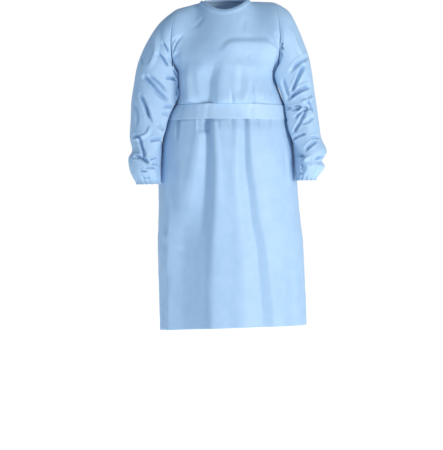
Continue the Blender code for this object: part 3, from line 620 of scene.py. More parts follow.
        def size(name: str) -> np.ndarray:
            """One size of the sleeve along its length, in metres."""
            return curve_through(down, places, [getattr(ring, name) for ring in rings]) * MM

        outer = np.stack([size("outer_x"), 0 * down, size("outer_z")], axis=-1)
        inner = np.stack([size("inner_x"), 0 * down, size("inner_z")], axis=-1)
        middle = (outer + inner) / 2
        middle[..., 1] = -size("forward")
        point = middle + np.cos(angle)[..., None] * (outer - inner) / 2
        bow = self.armhole_bow * (1 - ramp(down, 0, self.armhole_bow_ends)) * np.sin(angle) ** 2
        point[..., 0] += math.copysign(1, rings[0].outer_x) * bow
        point[..., 1] -= np.sin(angle) * size("depth")
        # In front the slack of the sleeve hangs a little over the body's side.
        over = self.overhang + self.overhang_share * np.abs(outer - inner)[..., 0] / 2
        turned = (np.mod(angle, 2 * math.pi) - self.overhang_angle) / self.overhang_width
        along = ramp(down, *self.overhang_starts) * (1 - ramp(down, *self.overhang_ends))
        point[..., 0] -= math.copysign(1, rings[0].outer_x) * over * np.exp(-(turned**2)) * along
        return point


@dataclass
class Cloth:
    """A sheet of cloth as a grid of points, whose columns run right and rows run up outside.

    A closed sheet is a tube: its last column is sewn to its first. Its girth is the way round it
    at each row, and an open sheet has one that no crease can reach round.
    """

    name: str
    points: np.ndarray
    closed: bool = False
    open_girth: float = 1000.0
    turned_away: float = 0.05
    path_steps: int = 5
    rounding: float = 0.1
    crest_place: float = 1.4
    crest_width: float = 0.4
    least_ease: float = 1e-9
    end_slack: float = 1e-6
    across: np.ndarray = field(init=False)
    up: np.ndarray = field(init=False)
    girth: np.ndarray = field(init=False)

    def __post_init__(self) -> None:
        """Measures the cloth along its columns and rows, before anything is pressed into it."""
        steps = np.linalg.norm(np.diff(self.points, axis=1), axis=-1)
        run = np.cumsum(np.pad(steps, ((0, 0), (1, 0))), axis=1)
        self.across = run - run[:, run.shape[1] // 2][:, None]
        last = np.linalg.norm(self.points[:, 0] - self.points[:, -1], axis=-1)
        self.girth = run[:, -1] + last if self.closed else np.full(len(run), self.open_girth)
        steps = np.linalg.norm(np.diff(self.points, axis=0), axis=-1)
        self.up = np.cumsum(np.pad(steps, ((1, 0), (0, 0))), axis=0)

    def normals(self) -> np.ndarray:
        """The direction out of the cloth at each point.

        Returns:
            Directions of length one.
        """
        if self.closed:
            right = np.roll(self.points, -1, axis=1) - np.roll(self.points, 1, axis=1)
        else:
            right = np.gradient(self.points, axis=1)
        return unit(np.cross(right, np.gradient(self.points, axis=0)))

    def place(self, spot: tuple[float, float], facing: Facing, normals: np.ndarray) -> np.ndarray:
        """Finds where a place seen from the front or from behind lies on the cloth.

        Args:
            spot: Place across and up the gown, in millimetres.
            facing: The side that it is seen from.
            normals: The directions out of the cloth.

        Returns:
            The place along the cloth's columns and rows, in metres.
        """
        away = (self.points[..., [0, 2]] - np.array(spot) * MM) ** 2
        hidden = normals[..., 1] * facing.value < -self.turned_away
        row, column = np.unravel_index(np.argmin(away.sum(axis=-1) + hidden), hidden.shape)
        return np.array([self.across[row, column], self.up[row, column]])

    def press(
        self,
        creases: tuple[Crease, ...],
        facing: Facing,
        most: np.ndarray | float = 1.0,
        least: np.ndarray | float = -1.0,
    ) -> None:
        """Presses creases into the cloth.

        Args:
            creases: What to press.
            facing: The side that the creases' paths are seen from.
            most: How far in a point may go, in metres.
            least: The same outwards, as a negative number.
        """
        normals = self.normals()
        here = np.stack([self.across, self.up], axis=-1)
        total = np.zeros(self.across.shape)
        for crease in creases:
            stops = np.array([self.place(spot, facing, normals) for spot in crease.path])
            # A path that crosses a tube's seam goes on past it, and not back round the tube.
            turns = np.round(np.diff(stops[:, 0]) / self.girth.min())
            stops[1:, 0] -= np.cumsum(turns) * self.girth.min()
            along = np.linspace(0, len(stops) - 1, self.path_steps * (len(stops) - 1) + 1)
            knots = np.arange(len(stops))
            path = np.stack([curve_through(along, knots, stops[:, i]) for i in (0, 1)], axis=-1)
            total += self.profile(here, path, crease)
        drawn = np.clip(total, least, most)
        self.points = self.points - normals * drawn[..., None]

    def profile(self, here: np.ndarray, path: np.ndarray, crease: Crease) -> np.ndarray:
        """How deep one crease is at each place of the cloth.

        Args:
            here: Places along the columns and rows, in metres.
            path: The crease's path in the same measure.
            crease: Its sizes.

        Returns:
            Depths into the cloth, in metres.
        """
        girth = self.girth[:, None]
        nearest = np.full(here.shape[:-1], np.inf)
        share = np.zeros(here.shape[:-1])
        hand = np.ones(here.shape[:-1])
        lengths = np.linalg.norm(np.diff(path, axis=0), axis=-1)
        starts = np.concatenate([[0], np.cumsum(lengths)])
        for index, (start, end) in enumerate(zip(path[:-1], path[1:])):
            way = end - start
            offset = here - start
            offset[..., 0] -= girth * np.round(offset[..., 0] / girth)
            t = np.clip((offset @ way) / max(float(way @ way), TINY), 0, 1)
            gap = np.linalg.norm(offset - t[..., None] * way, axis=-1)
            closer = gap < nearest
            turn = way[0] * offset[..., 1] - way[1] * offset[..., 0]
            nearest = np.where(closer, gap, nearest)
            share = np.where(closer, (starts[index] + t * lengths[index]) / starts[-1], share)
            hand = np.where(closer, turn, hand)
        grown = crease.flare[0] + (crease.flare[1] - crease.flare[0]) * share
        width = np.where(hand < 0, crease.left, crease.right) * MM * grown
        off = np.maximum(nearest - crease.flat * MM, 0) / width
        # Straight flanks with a tight bend at the bottom and at the shoulders, as bonded cloth has.
        rim = math.hypot(1.0, crease.bend)
        core = (rim - np.hypot(off, crease.bend)) / (rim - crease.bend)
        trough = (core + np.hypot(core, self.rounding)) / 2
        beside = (off - self.crest_place) / self.crest_width
        crest = crease.crest * np.exp(-(beside**2))
        # With no ease, a crease keeps its full depth to the very end of its path.
        start, end = (ease + self.least_ease for ease in crease.ease)
        fade = ramp(share, -self.end_slack, start)
        fade = fade * (1 - ramp(share, 1 - end, 1 + self.end_slack))
        return crease.depth * MM * fade * (trough - crest)

    def make(self, finish: bpy.types.Material, wall: float) -> bpy.types.Object:
        """Makes the piece: the grid, its measured UV map, and a wall on its inner side.

        Args:
            finish: The material.
            wall: The cloth's thickness in metres.

        Returns:
            The finished object, with its place in its mesh.
        """
        rows, columns = self.points.shape[:2]
        spans = columns if self.closed else columns - 1
        low = np.arange(rows - 1)[:, None] * columns + np.arange(spans)
        beside = np.arange(rows - 1)[:, None] * columns + (np.arange(spans) + 1) % columns
        quads = np.stack([low, beside, beside + columns, low + columns], axis=-1)
        mesh = bpy.data.meshes.new(self.name)
        mesh.from_pydata(self.points.reshape(-1, 3).tolist(), [], quads.reshape(-1, 4).tolist())
        wide = self.across
        tall = self.up
        if self.closed:
            last = np.linalg.norm(self.points[:, 0] - self.points[:, -1], axis=-1)
            wide = np.concatenate([wide, (wide[:, -1] + last)[:, None]], axis=1)
            tall = np.concatenate([tall, tall[:, :1]], axis=1)
        flat = np.stack([wide, tall], axis=-1)
        corners = (flat[:-1, :-1], flat[:-1, 1:], flat[1:, 1:], flat[1:, :-1])
        loops = np.stack(corners, axis=2).reshape(-1)
        mesh.uv_layers.new(name="cloth").data.foreach_set("uv", loops)
        mesh.shade_smooth()
        mesh.materials.append(finish)
        piece = bpy.data.objects.new(self.name, mesh)
        bpy.context.scene.collection.objects.link(piece)
        thicken(piece, wall)
        return piece


def thicken(piece: bpy.types.Object, wall: float) -> None:
    """Gives a sheet its wall, on its inner side, and applies it.

    Args:
        piece: The sheet.
        wall: Thickness in metres.
    """
    bpy.ops.object.select_all(action="DESELECT")
    piece.select_set(True)
    bpy.context.view_layer.objects.active = piece
    solidify = piece.modifiers.new("wall", "SOLIDIFY")
    solidify.thickness = wall
    solidify.offset = -1.0
    solidify.use_rim = True
    bpy.ops.object.modifier_apply(modifier=solidify.name)


def linear(colour: str) -> tuple[float, float, float, float]:
    """Turns an sRGB hex colour to the linear values that shaders take.

    Args:
        colour: Six hex digits.

    Returns:
        Red, green, blue and alpha, linear.
    """
    shares = [int(colour[at : at + 2], 16) / 255 for at in (0, 2, 4)]
    values = [s / 12.92 if s <= 0.04045 else ((s + 0.055) / 1.055) ** 2.4 for s in shares]
    return (*values, 1.0)


def add_node(
    tree: bpy.types.NodeTree,
    kind: str,
    inputs: dict[str, object],
    **settings: object,
) -> bpy.types.Node:
    """Adds a node with its settings, its values and the links into it.

    Args:
        tree: The tree that it joins.
        kind: Blender's name for the node's type.
        inputs: Values for its sockets, or sockets of other nodes to link from.
        settings: Properties of the node.

    Returns:
        The node.
    """
    node = tree.nodes.new(kind)
    for name, value in settings.items():
        setattr(node, name, value)
    for name, value in inputs.items():
        socket = node.inputs[int(name) if name.isdigit() else name]
        if isinstance(value, bpy.types.NodeSocket):
            tree.links.new(value, socket)
        else:
            socket.default_value = value
    return node


@dataclass(frozen=True)
class Nonwoven:
    """Spunbonded polypropylene nonwoven: fine filaments laid at random and bonded at hot points.

    The eye gets a soft, slightly waxy cloth with a faint grid of pressed dots, and blotches where
    the filaments lie thinner.
    """

    name: str
    shade: str = "9CBFE1"
    thin_shade: str = "A2C4E5"
    thin_from: float = 0.36
    thin_to: float = 0.68
    roughness: float = 0.5
    shine: float = 0.4
    sheen: float = 0.22
    sheen_roughness: float = 0.45
    sheen_shade: str = "DCEBFA"
    dot_pitch: float = 2.4 * MM
    dot_depth: float = 0.09 * MM
    dot_core: float = 0.12
    dot_rim: float = 0.34
    grain: float = 0.35
    crumple: float = 0.4 * MM

    def build(self) -> bpy.types.Material:
        """Makes the material from its sizes.

        Returns:
            The material.
        """
        made = bpy.data.materials.new(self.name)
        made.use_nodes = True
        tree = made.node_tree
        shader = tree.nodes["Principled BSDF"]
        place = add_node(tree, "ShaderNodeTexCoord", {}).outputs["Object"]
        cloth = add_node(tree, "ShaderNodeUVMap", {}, uv_map="cloth").outputs["UV"]
        # Blotches about 40 mm across, where the web of filaments is thinner or thicker.
        inputs = {"Vector": place, "Scale": 24.0, "Detail": 3.0, "Roughness": 0.55}
        blotch = add_node(tree, "ShaderNodeTexNoise", inputs)
        tint = add_node(tree, "ShaderNodeValToRGB", {"Fac": blotch.outputs["Fac"]})
        stops = tint.color_ramp.elements
        stops[0].position = self.thin_from
        stops[0].color = linear(self.shade)
        stops[1].position = self.thin_to
        stops[1].color = linear(self.thin_shade)
        # Bond points are 1.2 mm apart on the real cloth, and twice that here so that they show.
        inputs = {"Vector": cloth, "Rotation": (0.0, 0.0, math.radians(45))}
        turned = add_node(tree, "ShaderNodeMapping", inputs).outputs["Vector"]
        inputs = {"Vector": turned, "Scale": 1 / self.dot_pitch, "Randomness": 0.0}
        dots = add_node(tree, "ShaderNodeTexVoronoi", inputs, voronoi_dimensions="2D")
        away = dots.outputs["Distance"]
        inputs = {"Value": away, "From Min": self.dot_core, "From Max": self.dot_rim}
        pressed = add_node(tree, "ShaderNodeMapRange", inputs, interpolation_type="SMOOTHSTEP")
        # Filaments are far finer than a pixel, so they are drawn as a streaky grain of 0.8 mm.
        inputs = {"Vector": cloth, "Scale": 1250.0, "Detail": 2.0, "Distortion": 1.5}
        grain = add_node(tree, "ShaderNodeTexNoise", inputs)
        inputs = {"0": grain.outputs["Fac"], "1": self.grain, "2": pressed.outputs["Result"]}
        surface = add_node(tree, "ShaderNodeMath", inputs, operation="MULTIPLY_ADD")
        # Slight unevenness, 20 to 60 mm across, left by how the gown was folded in its pack.
        inputs = {"Vector": place, "Scale": 30.0, "Detail": 2.0, "Roughness": 0.4}
        crumple = add_node(tree, "ShaderNodeTexNoise", inputs)
        inputs = {"Strength": 1.0, "Distance": self.crumple, "Height": crumple.outputs["Fac"]}
        soft = add_node(tree, "ShaderNodeBump", inputs)
        inputs = {"Strength": 1.0, "Distance": self.dot_depth, "Height": surface.outputs["Value"]}
        fine = add_node(tree, "ShaderNodeBump", {**inputs, "Normal": soft.outputs["Normal"]})
        tree.links.new(tint.outputs["Color"], shader.inputs["Base Color"])
        tree.links.new(fine.outputs["Normal"], shader.inputs["Normal"])
        shader.inputs["Roughness"].default_value = self.roughness
        shader.inputs["Sheen Weight"].default_value = self.sheen
        shader.inputs["Sheen Roughness"].default_value = self.sheen_roughness
        shader.inputs["Sheen Tint"].default_value = linear(self.sheen_shade)
        shader.inputs["Specular IOR Level"].default_value = self.shine
        return made


def stand_in(piece: bpy.types.Object, node: str) -> None:
    """Puts a piece in the place of its node.

    Args:
        piece: The piece, which moves with the gown's one body.
        node: The node that it stands for.
    """
    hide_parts(node)
    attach(piece, "root")


@dataclass(frozen=True)
class Seam:
    """How a sewn seam draws in the cloth beside it, in metres."""

    depth: float = 1.3 * MM
    width: float = 2.6 * MM
    pucker: float = 0.9 * MM
    pucker_start: float = 4 * MM
    pucker_reach: float = 12 * MM

    def drawn_in(self, distance: np.ndarray, wave: np.ndarray) -> np.ndarray:
        """How far in the seam draws the cloth.

        Args:
            distance: Each point's distance from the seam.
            wave: An uneven wave along the seam, from -1 to 1.

        Returns:
            Depths into the cloth, in metres.
        """
        groove = self.depth * np.exp(-((distance / self.width) ** 2))
        ripple = self.pucker * wave * np.exp(-distance / self.pucker_reach)
        return groove + ripple * ramp(distance, 0, self.pucker_start)


@dataclass(frozen=True)
class Blouse:
    """The front's cloth that hangs over the belt, in metres."""

    start: float = -38 * MM
    end: float = 78 * MM
    blend: float = 22 * MM
    elsewhere: float = 0.35
    height: float = 40 * MM
    out: float = 7 * MM
    drop: float = 13 * MM

    def hang(self, cloth: Cloth, belt_top: float) -> None:
        """Lets the front hang a little over the belt, and most over the belt's middle.

        Args:
            cloth: The front.
            belt_top: The height of the belt's upper edge.
        """
        t = np.clip((cloth.points[..., 2] - belt_top) / self.height, 0, 1)
        # The lobe is 1 where the cloth hangs out furthest, a third of the way up.
        lobe = 27 / 4 * t * (1 - t) ** 2
        x = cloth.points[..., 0]
        over = ramp(x, self.start - self.blend, self.start + self.blend)
        over = over * (1 - ramp(x, self.end - self.blend, self.end + self.blend))
        over = self.elsewhere + (1 - self.elsewhere) * over
        cloth.points[..., 1] -= self.out * lobe * over
        cloth.points[..., 2] -= self.drop * lobe * over


@dataclass
class Panels:
    """The front and the two backs that lap over each other."""

    form: GownForm
    finish: bpy.types.Material
    seam: Seam = Seam()
    blouse: Blouse = Blouse()
    wall: float = 0.8 * MM
    front_columns: int = 176
    back_columns: int = 165
    lower_rows: int = 176
    upper_rows: int = 50
    easing_rounds: int = 160
    eased_up: tuple[float, float] = (0.15, 0.8)
    seam_fade: float = 14 * MM
    pucker_along: float = 16 * MM
    pucker_beside: float = 50 * MM
    out_at_belt: float = 0.2 * MM
    out_elsewhere: float = 30 * MM
    belt_blend: float = 30 * MM
    lap_share: float = 0.125

    def grid(self, shares: np.ndarray, facing: Facing) -> np.ndarray:
        """The plain cloth of the front or the back, hem first.

        Args:
            shares: Places across, 0 at the wearer's right side seam and 1 at the left one.
            facing: The front or the back.

        Returns:
            The grid of points, in metres.
        """
        form = self.form
        heights = np.linspace(form.hem, form.underarm, self.lower_rows)
        angles, levels = np.meshgrid(form.side_angle(shares, facing), heights)
        lower = form.body_point(angles, levels)
        near_hem = ramp(levels, form.hem + form.hem_blend, form.hem)
        lower[..., 2] += near_hem * form.hem_rise_to_left * lower[..., 0] / form.hem_half_width
        ahead = np.maximum(np.cos(angles), 0)
        lower[..., 2] += near_hem * form.hem_rise_in_front * ahead**2
        across, up = np.meshgrid(shares, np.linspace(0, 1, self.upper_rows + 1)[1:])
        upper = form.yoke_point(across, up, facing)
        # Bonded cloth spans the corners of the neck opening instead of following them.
        start, end = self.eased_up
        eased = (ramp(up, 0, start) * (1 - ramp(up, end, 1)))[:, 1:-1, None] / 2
        for _ in range(self.easing_rounds):
            middle = (upper[:, :-2] + upper[:, 2:]) / 2
            upper[:, 1:-1] += (middle - upper[:, 1:-1]) * eased
        return np.concatenate([lower, upper])

    def reach(self, cloth: Cloth) -> tuple[np.ndarray, np.ndarray]:
        """How far each point is from the sewn edges, and how far out it may be drawn.

        Args:
            cloth: The front, or the whole back.

        Returns:
            The distance in metres, and the outward limit as a negative number.
        """
        from_right = cloth.across - cloth.across[:, :1]
        from_left = cloth.across[:, -1:] - cloth.across
        from_top = cloth.up[-1] - cloth.up
        distance = np.minimum(np.minimum(from_right, from_left), from_top)
        height = cloth.points[..., 2]
        below = self.form.belt_bottom - height
        away = np.maximum(np.maximum(below, height - self.form.belt_top), 0)
        return distance, -self.out_at_belt - self.out_elsewhere * ramp(away, 0, self.belt_blend)

    def sew(self, cloth: Cloth, distance: np.ndarray, flat: np.ndarray) -> None:
        """Holds the sewn edges where they meet, and draws their seams in.

        Args:
            cloth: The cloth with its creases.
            distance: Each point's distance from the sewn edges.
            flat: The plain grid that the cloth was pressed from.
        """
        hold = ramp(distance, 0, self.seam_fade)[..., None]
        cloth.points = flat + (cloth.points - flat) * hold
        at = cloth.up / self.pucker_along + cloth.across / self.pucker_beside
        drawn = self.seam.drawn_in(distance, wobble(at, waves=(1.0, 1.6, 2.3), seed=4))
        cloth.points = cloth.points - cloth.normals() * drawn[..., None]

    def front(self) -> bpy.types.Object:
        """Makes the front.

        Returns:
            The finished piece.
        """
        plain = self.grid(np.linspace(0, 1, self.front_columns), Facing.FRONT)
        cloth = Cloth("gown_front", plain)
        distance, least = self.reach(cloth)
        cloth.press(SKIRT_CREASES + BODICE_CREASES, Facing.FRONT, least=least)
        self.sew(cloth, distance, plain)
        self.blouse.hang(cloth, self.form.belt_top)
        piece = cloth.make(self.finish, self.wall)
        stand_in(piece, "front_panel")
        return piece

    def backs(self) -> list[bpy.types.Object]:
        """Makes the two backs from one back, so that their folds follow each other.

        Returns:
            The wearer's left back, which is raised over the lap, and the right one.
        """
        shares = np.linspace(1, 0, self.back_columns)
        plain = self.grid(shares, Facing.BACK)
        whole = Cloth("gown_back", plain)
        distance, least = self.reach(whole)
        whole.press(BACK_CREASES, Facing.BACK, least=least)
        self.sew(whole, distance, plain)
        high = self.form.neck_share[1]
        lift = self.form.lap_step * (1 - ramp(shares, 0.5 + self.lap_share, high))
        out = whole.normals()
        made = []
        for name, node, kept, raised in (
            ("gown_back_left", "back_panel_left", shares >= 0.5 - self.lap_share, lift),
            ("gown_back_right", "back_panel_right", shares <= 0.5 + self.lap_share, 0 * lift),
        ):
            points = whole.points + out * raised[None, :, None]
            piece = Cloth(name, points[:, kept]).make(self.finish, self.wall)
            stand_in(piece, node)
            made.append(piece)
        return made


@dataclass
class Sleeve:
    """One sleeve with the elastic cuff at its end."""

    form: GownForm
    side: Side
    rings: tuple[Ring, ...]
    creases: tuple[Crease, ...]
    back_creases: tuple[Crease, ...]
    cloth_finish: bpy.types.Material
    cuff_finish: bpy.types.Material
    seam: Seam = Seam()
    wall: float = 0.8 * MM
    columns: int = 200
    rows: int = 236
    in_at_body: float = 0.6 * MM
    in_near_body: float = 3 * MM
    out_at_body: float = 0.4 * MM
    free_play: float = 30 * MM
    near_body: tuple[float, float] = (0.98, 0.85)
    off_body: tuple[float, float] = (0.82, 0.55)
    out_from_body: tuple[float, float] = (0.95, 0.6)
    held_at_armhole: float = 0.035
    held_at_cuff: float = 0.95
    puckers: int = 13
    gathers: int = 14
    gather_start: float = 0.86
    gather_depth: float = 1.5 * MM
    gather_drift: float = 1.4
    gather_level: float = 0.75
    gather_swing: float = 0.35
    cuff_rows: int = 9
    cuff_aim: float = 0.97
    cuff_width: float = 10 * MM
    cuff_depth: float = 2.3 * MM
    cuff_pinch: float = 1.4 * MM
    cuff_frill: float = 0.8 * MM

    def angles(self) -> np.ndarray:
        """The columns' angles, from the underarm seam round, to the right seen from outside."""
        turn = np.linspace(-math.pi, math.pi, self.columns, endpoint=False)
        return turn if self.side is Side.RIGHT else -turn

    def gather(self, angle: np.ndarray) -> np.ndarray:
        """The uneven ripple that the elastic draws.

        Args:
            angle: Radians round the sleeve.

        Returns:
            Heights from about -1 to 1.
        """
        # Two slow waves shift and swell the gathers, so that no two of them are alike.
        uneven = 0.35 * np.sin(3 * angle + 1.1) + 0.25 * np.sin(5 * angle + self.side.value)
        ripple = np.sin(self.gathers * angle + self.gather_drift * uneven)
        return ripple * (self.gather_level + self.gather_swing * uneven)

    def play(self, angle: np.ndarray) -> tuple[np.ndarray, np.ndarray]:
        """How far in and out a crease may go: beside the body hardly, so that no gap opens.

        Args:
            angle: Radians round the sleeve, pi at the body.

        Returns:
            The limit inwards, and the one outwards as a negative number, in metres.
        """
        # The play grows between two steps away from the body, told by this cosine: 1 is at it.
        inward = -np.cos(angle)
        most = self.in_at_body + self.in_near_body * ramp(inward, *self.near_body)
        most = most + self.free_play * ramp(inward, *self.off_body)
        least = -self.out_at_body - self.free_play * ramp(inward, *self.out_from_body)
        return most, least

    def sleeve(self) -> bpy.types.Object:
        """Makes the sleeve.

        Returns:
            The finished piece.
        """
        down, angle = np.meshgrid(np.linspace(1, 0, self.rows), self.angles(), indexing="ij")
        plain = self.form.sleeve_point(self.rings, down, angle)
        name = self.side.name.lower()
        cloth = Cloth(f"gown_sleeve_{name}", plain, closed=True)
        most, least = self.play(angle)
        cloth.press(self.creases, Facing.FRONT, most=most, least=least)
        cloth.press(self.back_creases, Facing.BACK, most=most, least=least)
        hold = ramp(down, 0, self.held_at_armhole) * (1 - ramp(down, self.held_at_cuff, 1.0))
        cloth.points = plain + (cloth.points - plain) * hold[..., None]
        wave = wobble(angle * self.puckers, waves=(1.0, 1.7, 2.2), seed=8)
        drawn = self.seam.drawn_in(cloth.up[-1] - cloth.up, wave)
        gathered = self.gather_depth * self.gather(angle) * ramp(down, self.gather_start, 1.0)
        cloth.points = cloth.points - cloth.normals() * (drawn - gathered)[..., None]
        piece = cloth.make(self.cloth_finish, self.wall)
        stand_in(piece, f"sleeve_{name}")
        return piece

    def cuff(self) -> bpy.types.Object:
        """Makes the gathered casing of the elastic.

        Returns:
            The finished piece.
        """
        angle = self.angles()
        ones = np.ones_like(angle)
        end = self.form.sleeve_point(self.rings, ones, angle)
        above = self.form.sleeve_point(self.rings, self.cuff_aim * ones, angle)
        way = unit((end - above).mean(axis=0))
        outward = unit(end - end.mean(axis=0))
        layers = []
        for share in np.linspace(1, 0, self.cuff_rows):
            depth = self.gather_depth + (self.cuff_depth - self.gather_depth) * share
            pinch = self.cuff_pinch * math.sin(math.pi * share)
            reach = depth * self.gather(angle) - pinch
            frill = self.cuff_frill * share * np.cos(self.gathers * angle)
            along = self.cuff_width * share + frill
            layers.append(end + way * along[:, None] + outward * reach[:, None])
        name = self.side.name.lower()
        cloth = Cloth(f"gown_cuff_{name}", np.array(layers), closed=True)
        piece = cloth.make(self.cuff_finish, self.wall)
        stand_in(piece, f"cuff_{name}")
        return piece


@dataclass
class NeckBinding:
    """The folded tape round the neck edge, whose ends lap at the centre back.

    Its section holds places outward and down, in millimetres, from the outside of the gown over
    the neck edge to the inside.
    """

    form: GownForm
    finish: bpy.types.Material
    wall: float = 0.7 * MM
    columns: int = 260
    reach: float = 4 * math.pi / 3
    steps_out: tuple[float, float] = (math.pi / 2, 2 * math.pi / 3)
    pucker: float = 0.25 * MM
    puckers: int = 20
    section: tuple[tuple[float, float], ...] = (
        (7.4, 7.0),
        (7.0, 5.6),
        (5.2, 3.7),
        (3.0, 1.6),
        (1.2, 0.1),
        (0.0, -0.5),
        (-1.0, 0.2),
        (-1.3, 2.2),
        (-1.0, 5.0),
    )

    def build(self) -> bpy.types.Object:
        """Makes the tape.

        Returns:
            The finished piece.
        """
        angles = np.linspace(-self.reach, self.reach, self.columns)
        layers = [self.form.neck_point(angles, out * MM, down * MM) for out, down in self.section]
        cloth = Cloth("gown_neck_binding", np.array(layers))
        lift = self.form.lap_step * ramp(angles, *self.steps_out)
        pucker = self.pucker * wobble(angles * self.puckers, waves=(1.0, 1.9, 3.1), seed=5)
        cloth.points = cloth.points + cloth.normals() * (lift + pucker)[None, :, None]
        piece = cloth.make(self.finish, self.wall)
        stand_in(piece, "neck_binding")
        return piece


@dataclass
class Belt:
    """The belt round the waist, with its knot and tails at the centre back."""

    form: GownForm
    finish: bpy.types.Material
    wall: float = 1.1 * MM
    ease: float = 2.3 * MM
    columns: int = 300
    rows: int = 15
    slope_step: float = 2 * MM
    steps_out: tuple[float, float] = (120, 146)
    sway: float = 0.9 * MM
    edge_roll: float = 0.9 * MM
    unevenness: float = 0.5 * MM
    uneven_round: float = 6.0
    uneven_up: float = 2.5
    seam_gap: float = 0.3 * MM
    knot_size: tuple[float, float, float] = (46 * MM, 24 * MM, 40 * MM)
    knot_rounding: float = 10 * MM
    knot_squareness: float = 0.62
    knot_share: float = 0.94
    knot_slant: tuple[float, float] = (3.2, 1.3)
    knot_folds: float = 3.4
    knot_fold_depth: float = 0.055
    knot_waist_depth: float = 0.05
    knot_waist_width: float = 0.12
    knot_cloth: tuple[float, float] = (110 * MM, 60 * MM)
    tail_rows: int = 56
    tail_columns: int = 17
    tail_width: float = 46 * MM
    tail_length: float = 240 * MM
    tail_shortfall: tuple[float, float] = (0.0, 0.14)
    tail_open_at: float = 0.3
    tail_settled_at: float = 0.35
    tail_gather: float = 0.42
    tail_lean: float = 18 * MM
    tail_parting: float = 15 * MM
    tail_stand_off: float = 14 * MM
    tail_cup: float = 2 * MM
    tail_pleat: float = 1.6 * MM
    tail_pleats: float = 7.0
    tail_curl: float = 1.5 * MM
    tail_curls: float = 9.0
    tail_curl_from: tuple[float, float] = (0.1, 0.4)

    def surface(self, angle: np.ndarray, height: np.ndarray) -> np.ndarray:
        """A point of the belt's outer side.

        Args:
            angle: Radians round the body from the centre front.
            height: Height in metres.

        Returns:
            The points, in metres.
        """
        step = self.slope_step
        body = self.form.body_point
        across = body(angle + step, height) - body(angle - step, height)
        up = body(angle, height + step) - body(angle, height - step)
        sides = [math.radians(side) for side in self.steps_out]
        stand_off = self.ease + self.form.lap_step * ramp(np.abs(angle), *sides)
        return body(angle, height) + unit(np.cross(across, up)) * stand_off[..., None]

    def behind(self) -> np.ndarray:
        """The point where the belt stands out furthest behind the knot.

        Returns:
            The point, in metres.
        """
        middle = (self.form.belt_top + self.form.belt_bottom) / 2
        rows = np.array([self.form.belt_bottom, middle, self.form.belt_top])
        points = self.surface(np.full_like(rows, math.pi), rows)
        flat = self.knot_size[2] / 2 - self.knot_rounding
        behind = np.interp((middle - flat, middle + flat), points[:, 2], points[:, 1])
        return np.array([points[0, 0], behind.max(), middle])

    def band(self) -> bpy.types.Object:
        """Makes the band round the waist.

        Returns:
            The finished piece.
        """
        form = self.form
        turn = np.linspace(-math.pi, math.pi, self.columns, endpoint=False)
        share, angle = np.meshgrid(np.linspace(0, 1, self.rows), turn, indexing="ij")
        sway = self.sway * wobble(angle, waves=(2.0, 5.0, 9.0), seed=11)
        height = form.belt_bottom + (form.belt_top - form.belt_bottom) * share
        cloth = Cloth("gown_belt", self.surface(angle, height), closed=True)
        edge = np.abs(2 * share - 1)
        rounded = self.edge_roll * edge**8
        at = angle * self.uneven_round + share * self.uneven_up
        wave = self.unevenness * wobble(at, waves=(1.0, 2.7, 4.1), seed=3)
        cloth.points = cloth.points - cloth.normals() * (rounded + wave)[..., None]
        cloth.points[..., 2] += sway * edge
        cloth.press(BELT_CREASES, Facing.FRONT)
        piece = cloth.make(self.finish, self.wall)
        stand_in(piece, "belt_band")
        return piece

    def knot(self) -> bpy.types.Object:
        """Makes the knot: a rounded wrap of cloth with folds drawn across it.

        Returns:
            The finished piece.
        """
        back = self.behind()
        size = np.array(self.knot_size)
        middle = (back[0], back[1] + self.seam_gap + size[1] / 2, back[2])
        bpy.ops.object.select_all(action="DESELECT")
        bpy.ops.mesh.primitive_uv_sphere_add(segments=96, ring_count=64, radius=1.0)
        piece = bpy.context.object
        piece.name = "gown_belt_knot"
        piece.data.name = piece.name
        points = np.empty(len(piece.data.vertices) * 3)
        piece.data.vertices.foreach_get("co", points)
        ball = points.reshape(-1, 3)
        # A ball drawn out to a soft box, with the wrap's folds running slantwise over it.
        box = np.sign(ball) * np.abs(ball) ** self.knot_squareness
        slant = ball[:, 0] * self.knot_slant[0] + ball[:, 2] * self.knot_slant[1]
        folds = 1 - self.knot_fold_depth * np.sin(slant * self.knot_folds) ** 2
        waist = np.exp(-((ball[:, 2] / self.knot_waist_width) ** 2))
        folds = folds - self.knot_waist_depth * waist
        shaped = box * (size / 2 * self.knot_share) * folds[:, None]
        piece.data.vertices.foreach_set("co", (shaped + np.array(middle)).reshape(-1))
        piece.data.uv_layers[0].name = "cloth"
        wide, tall = self.knot_cloth
        for corner in piece.data.uv_layers[0].data:
            corner.uv = (corner.uv[0] * wide, corner.uv[1] * tall)
        piece.data.shade_smooth()
        piece.data.materials.append(self.finish)
        stand_in(piece, "belt_knot")
        return piece

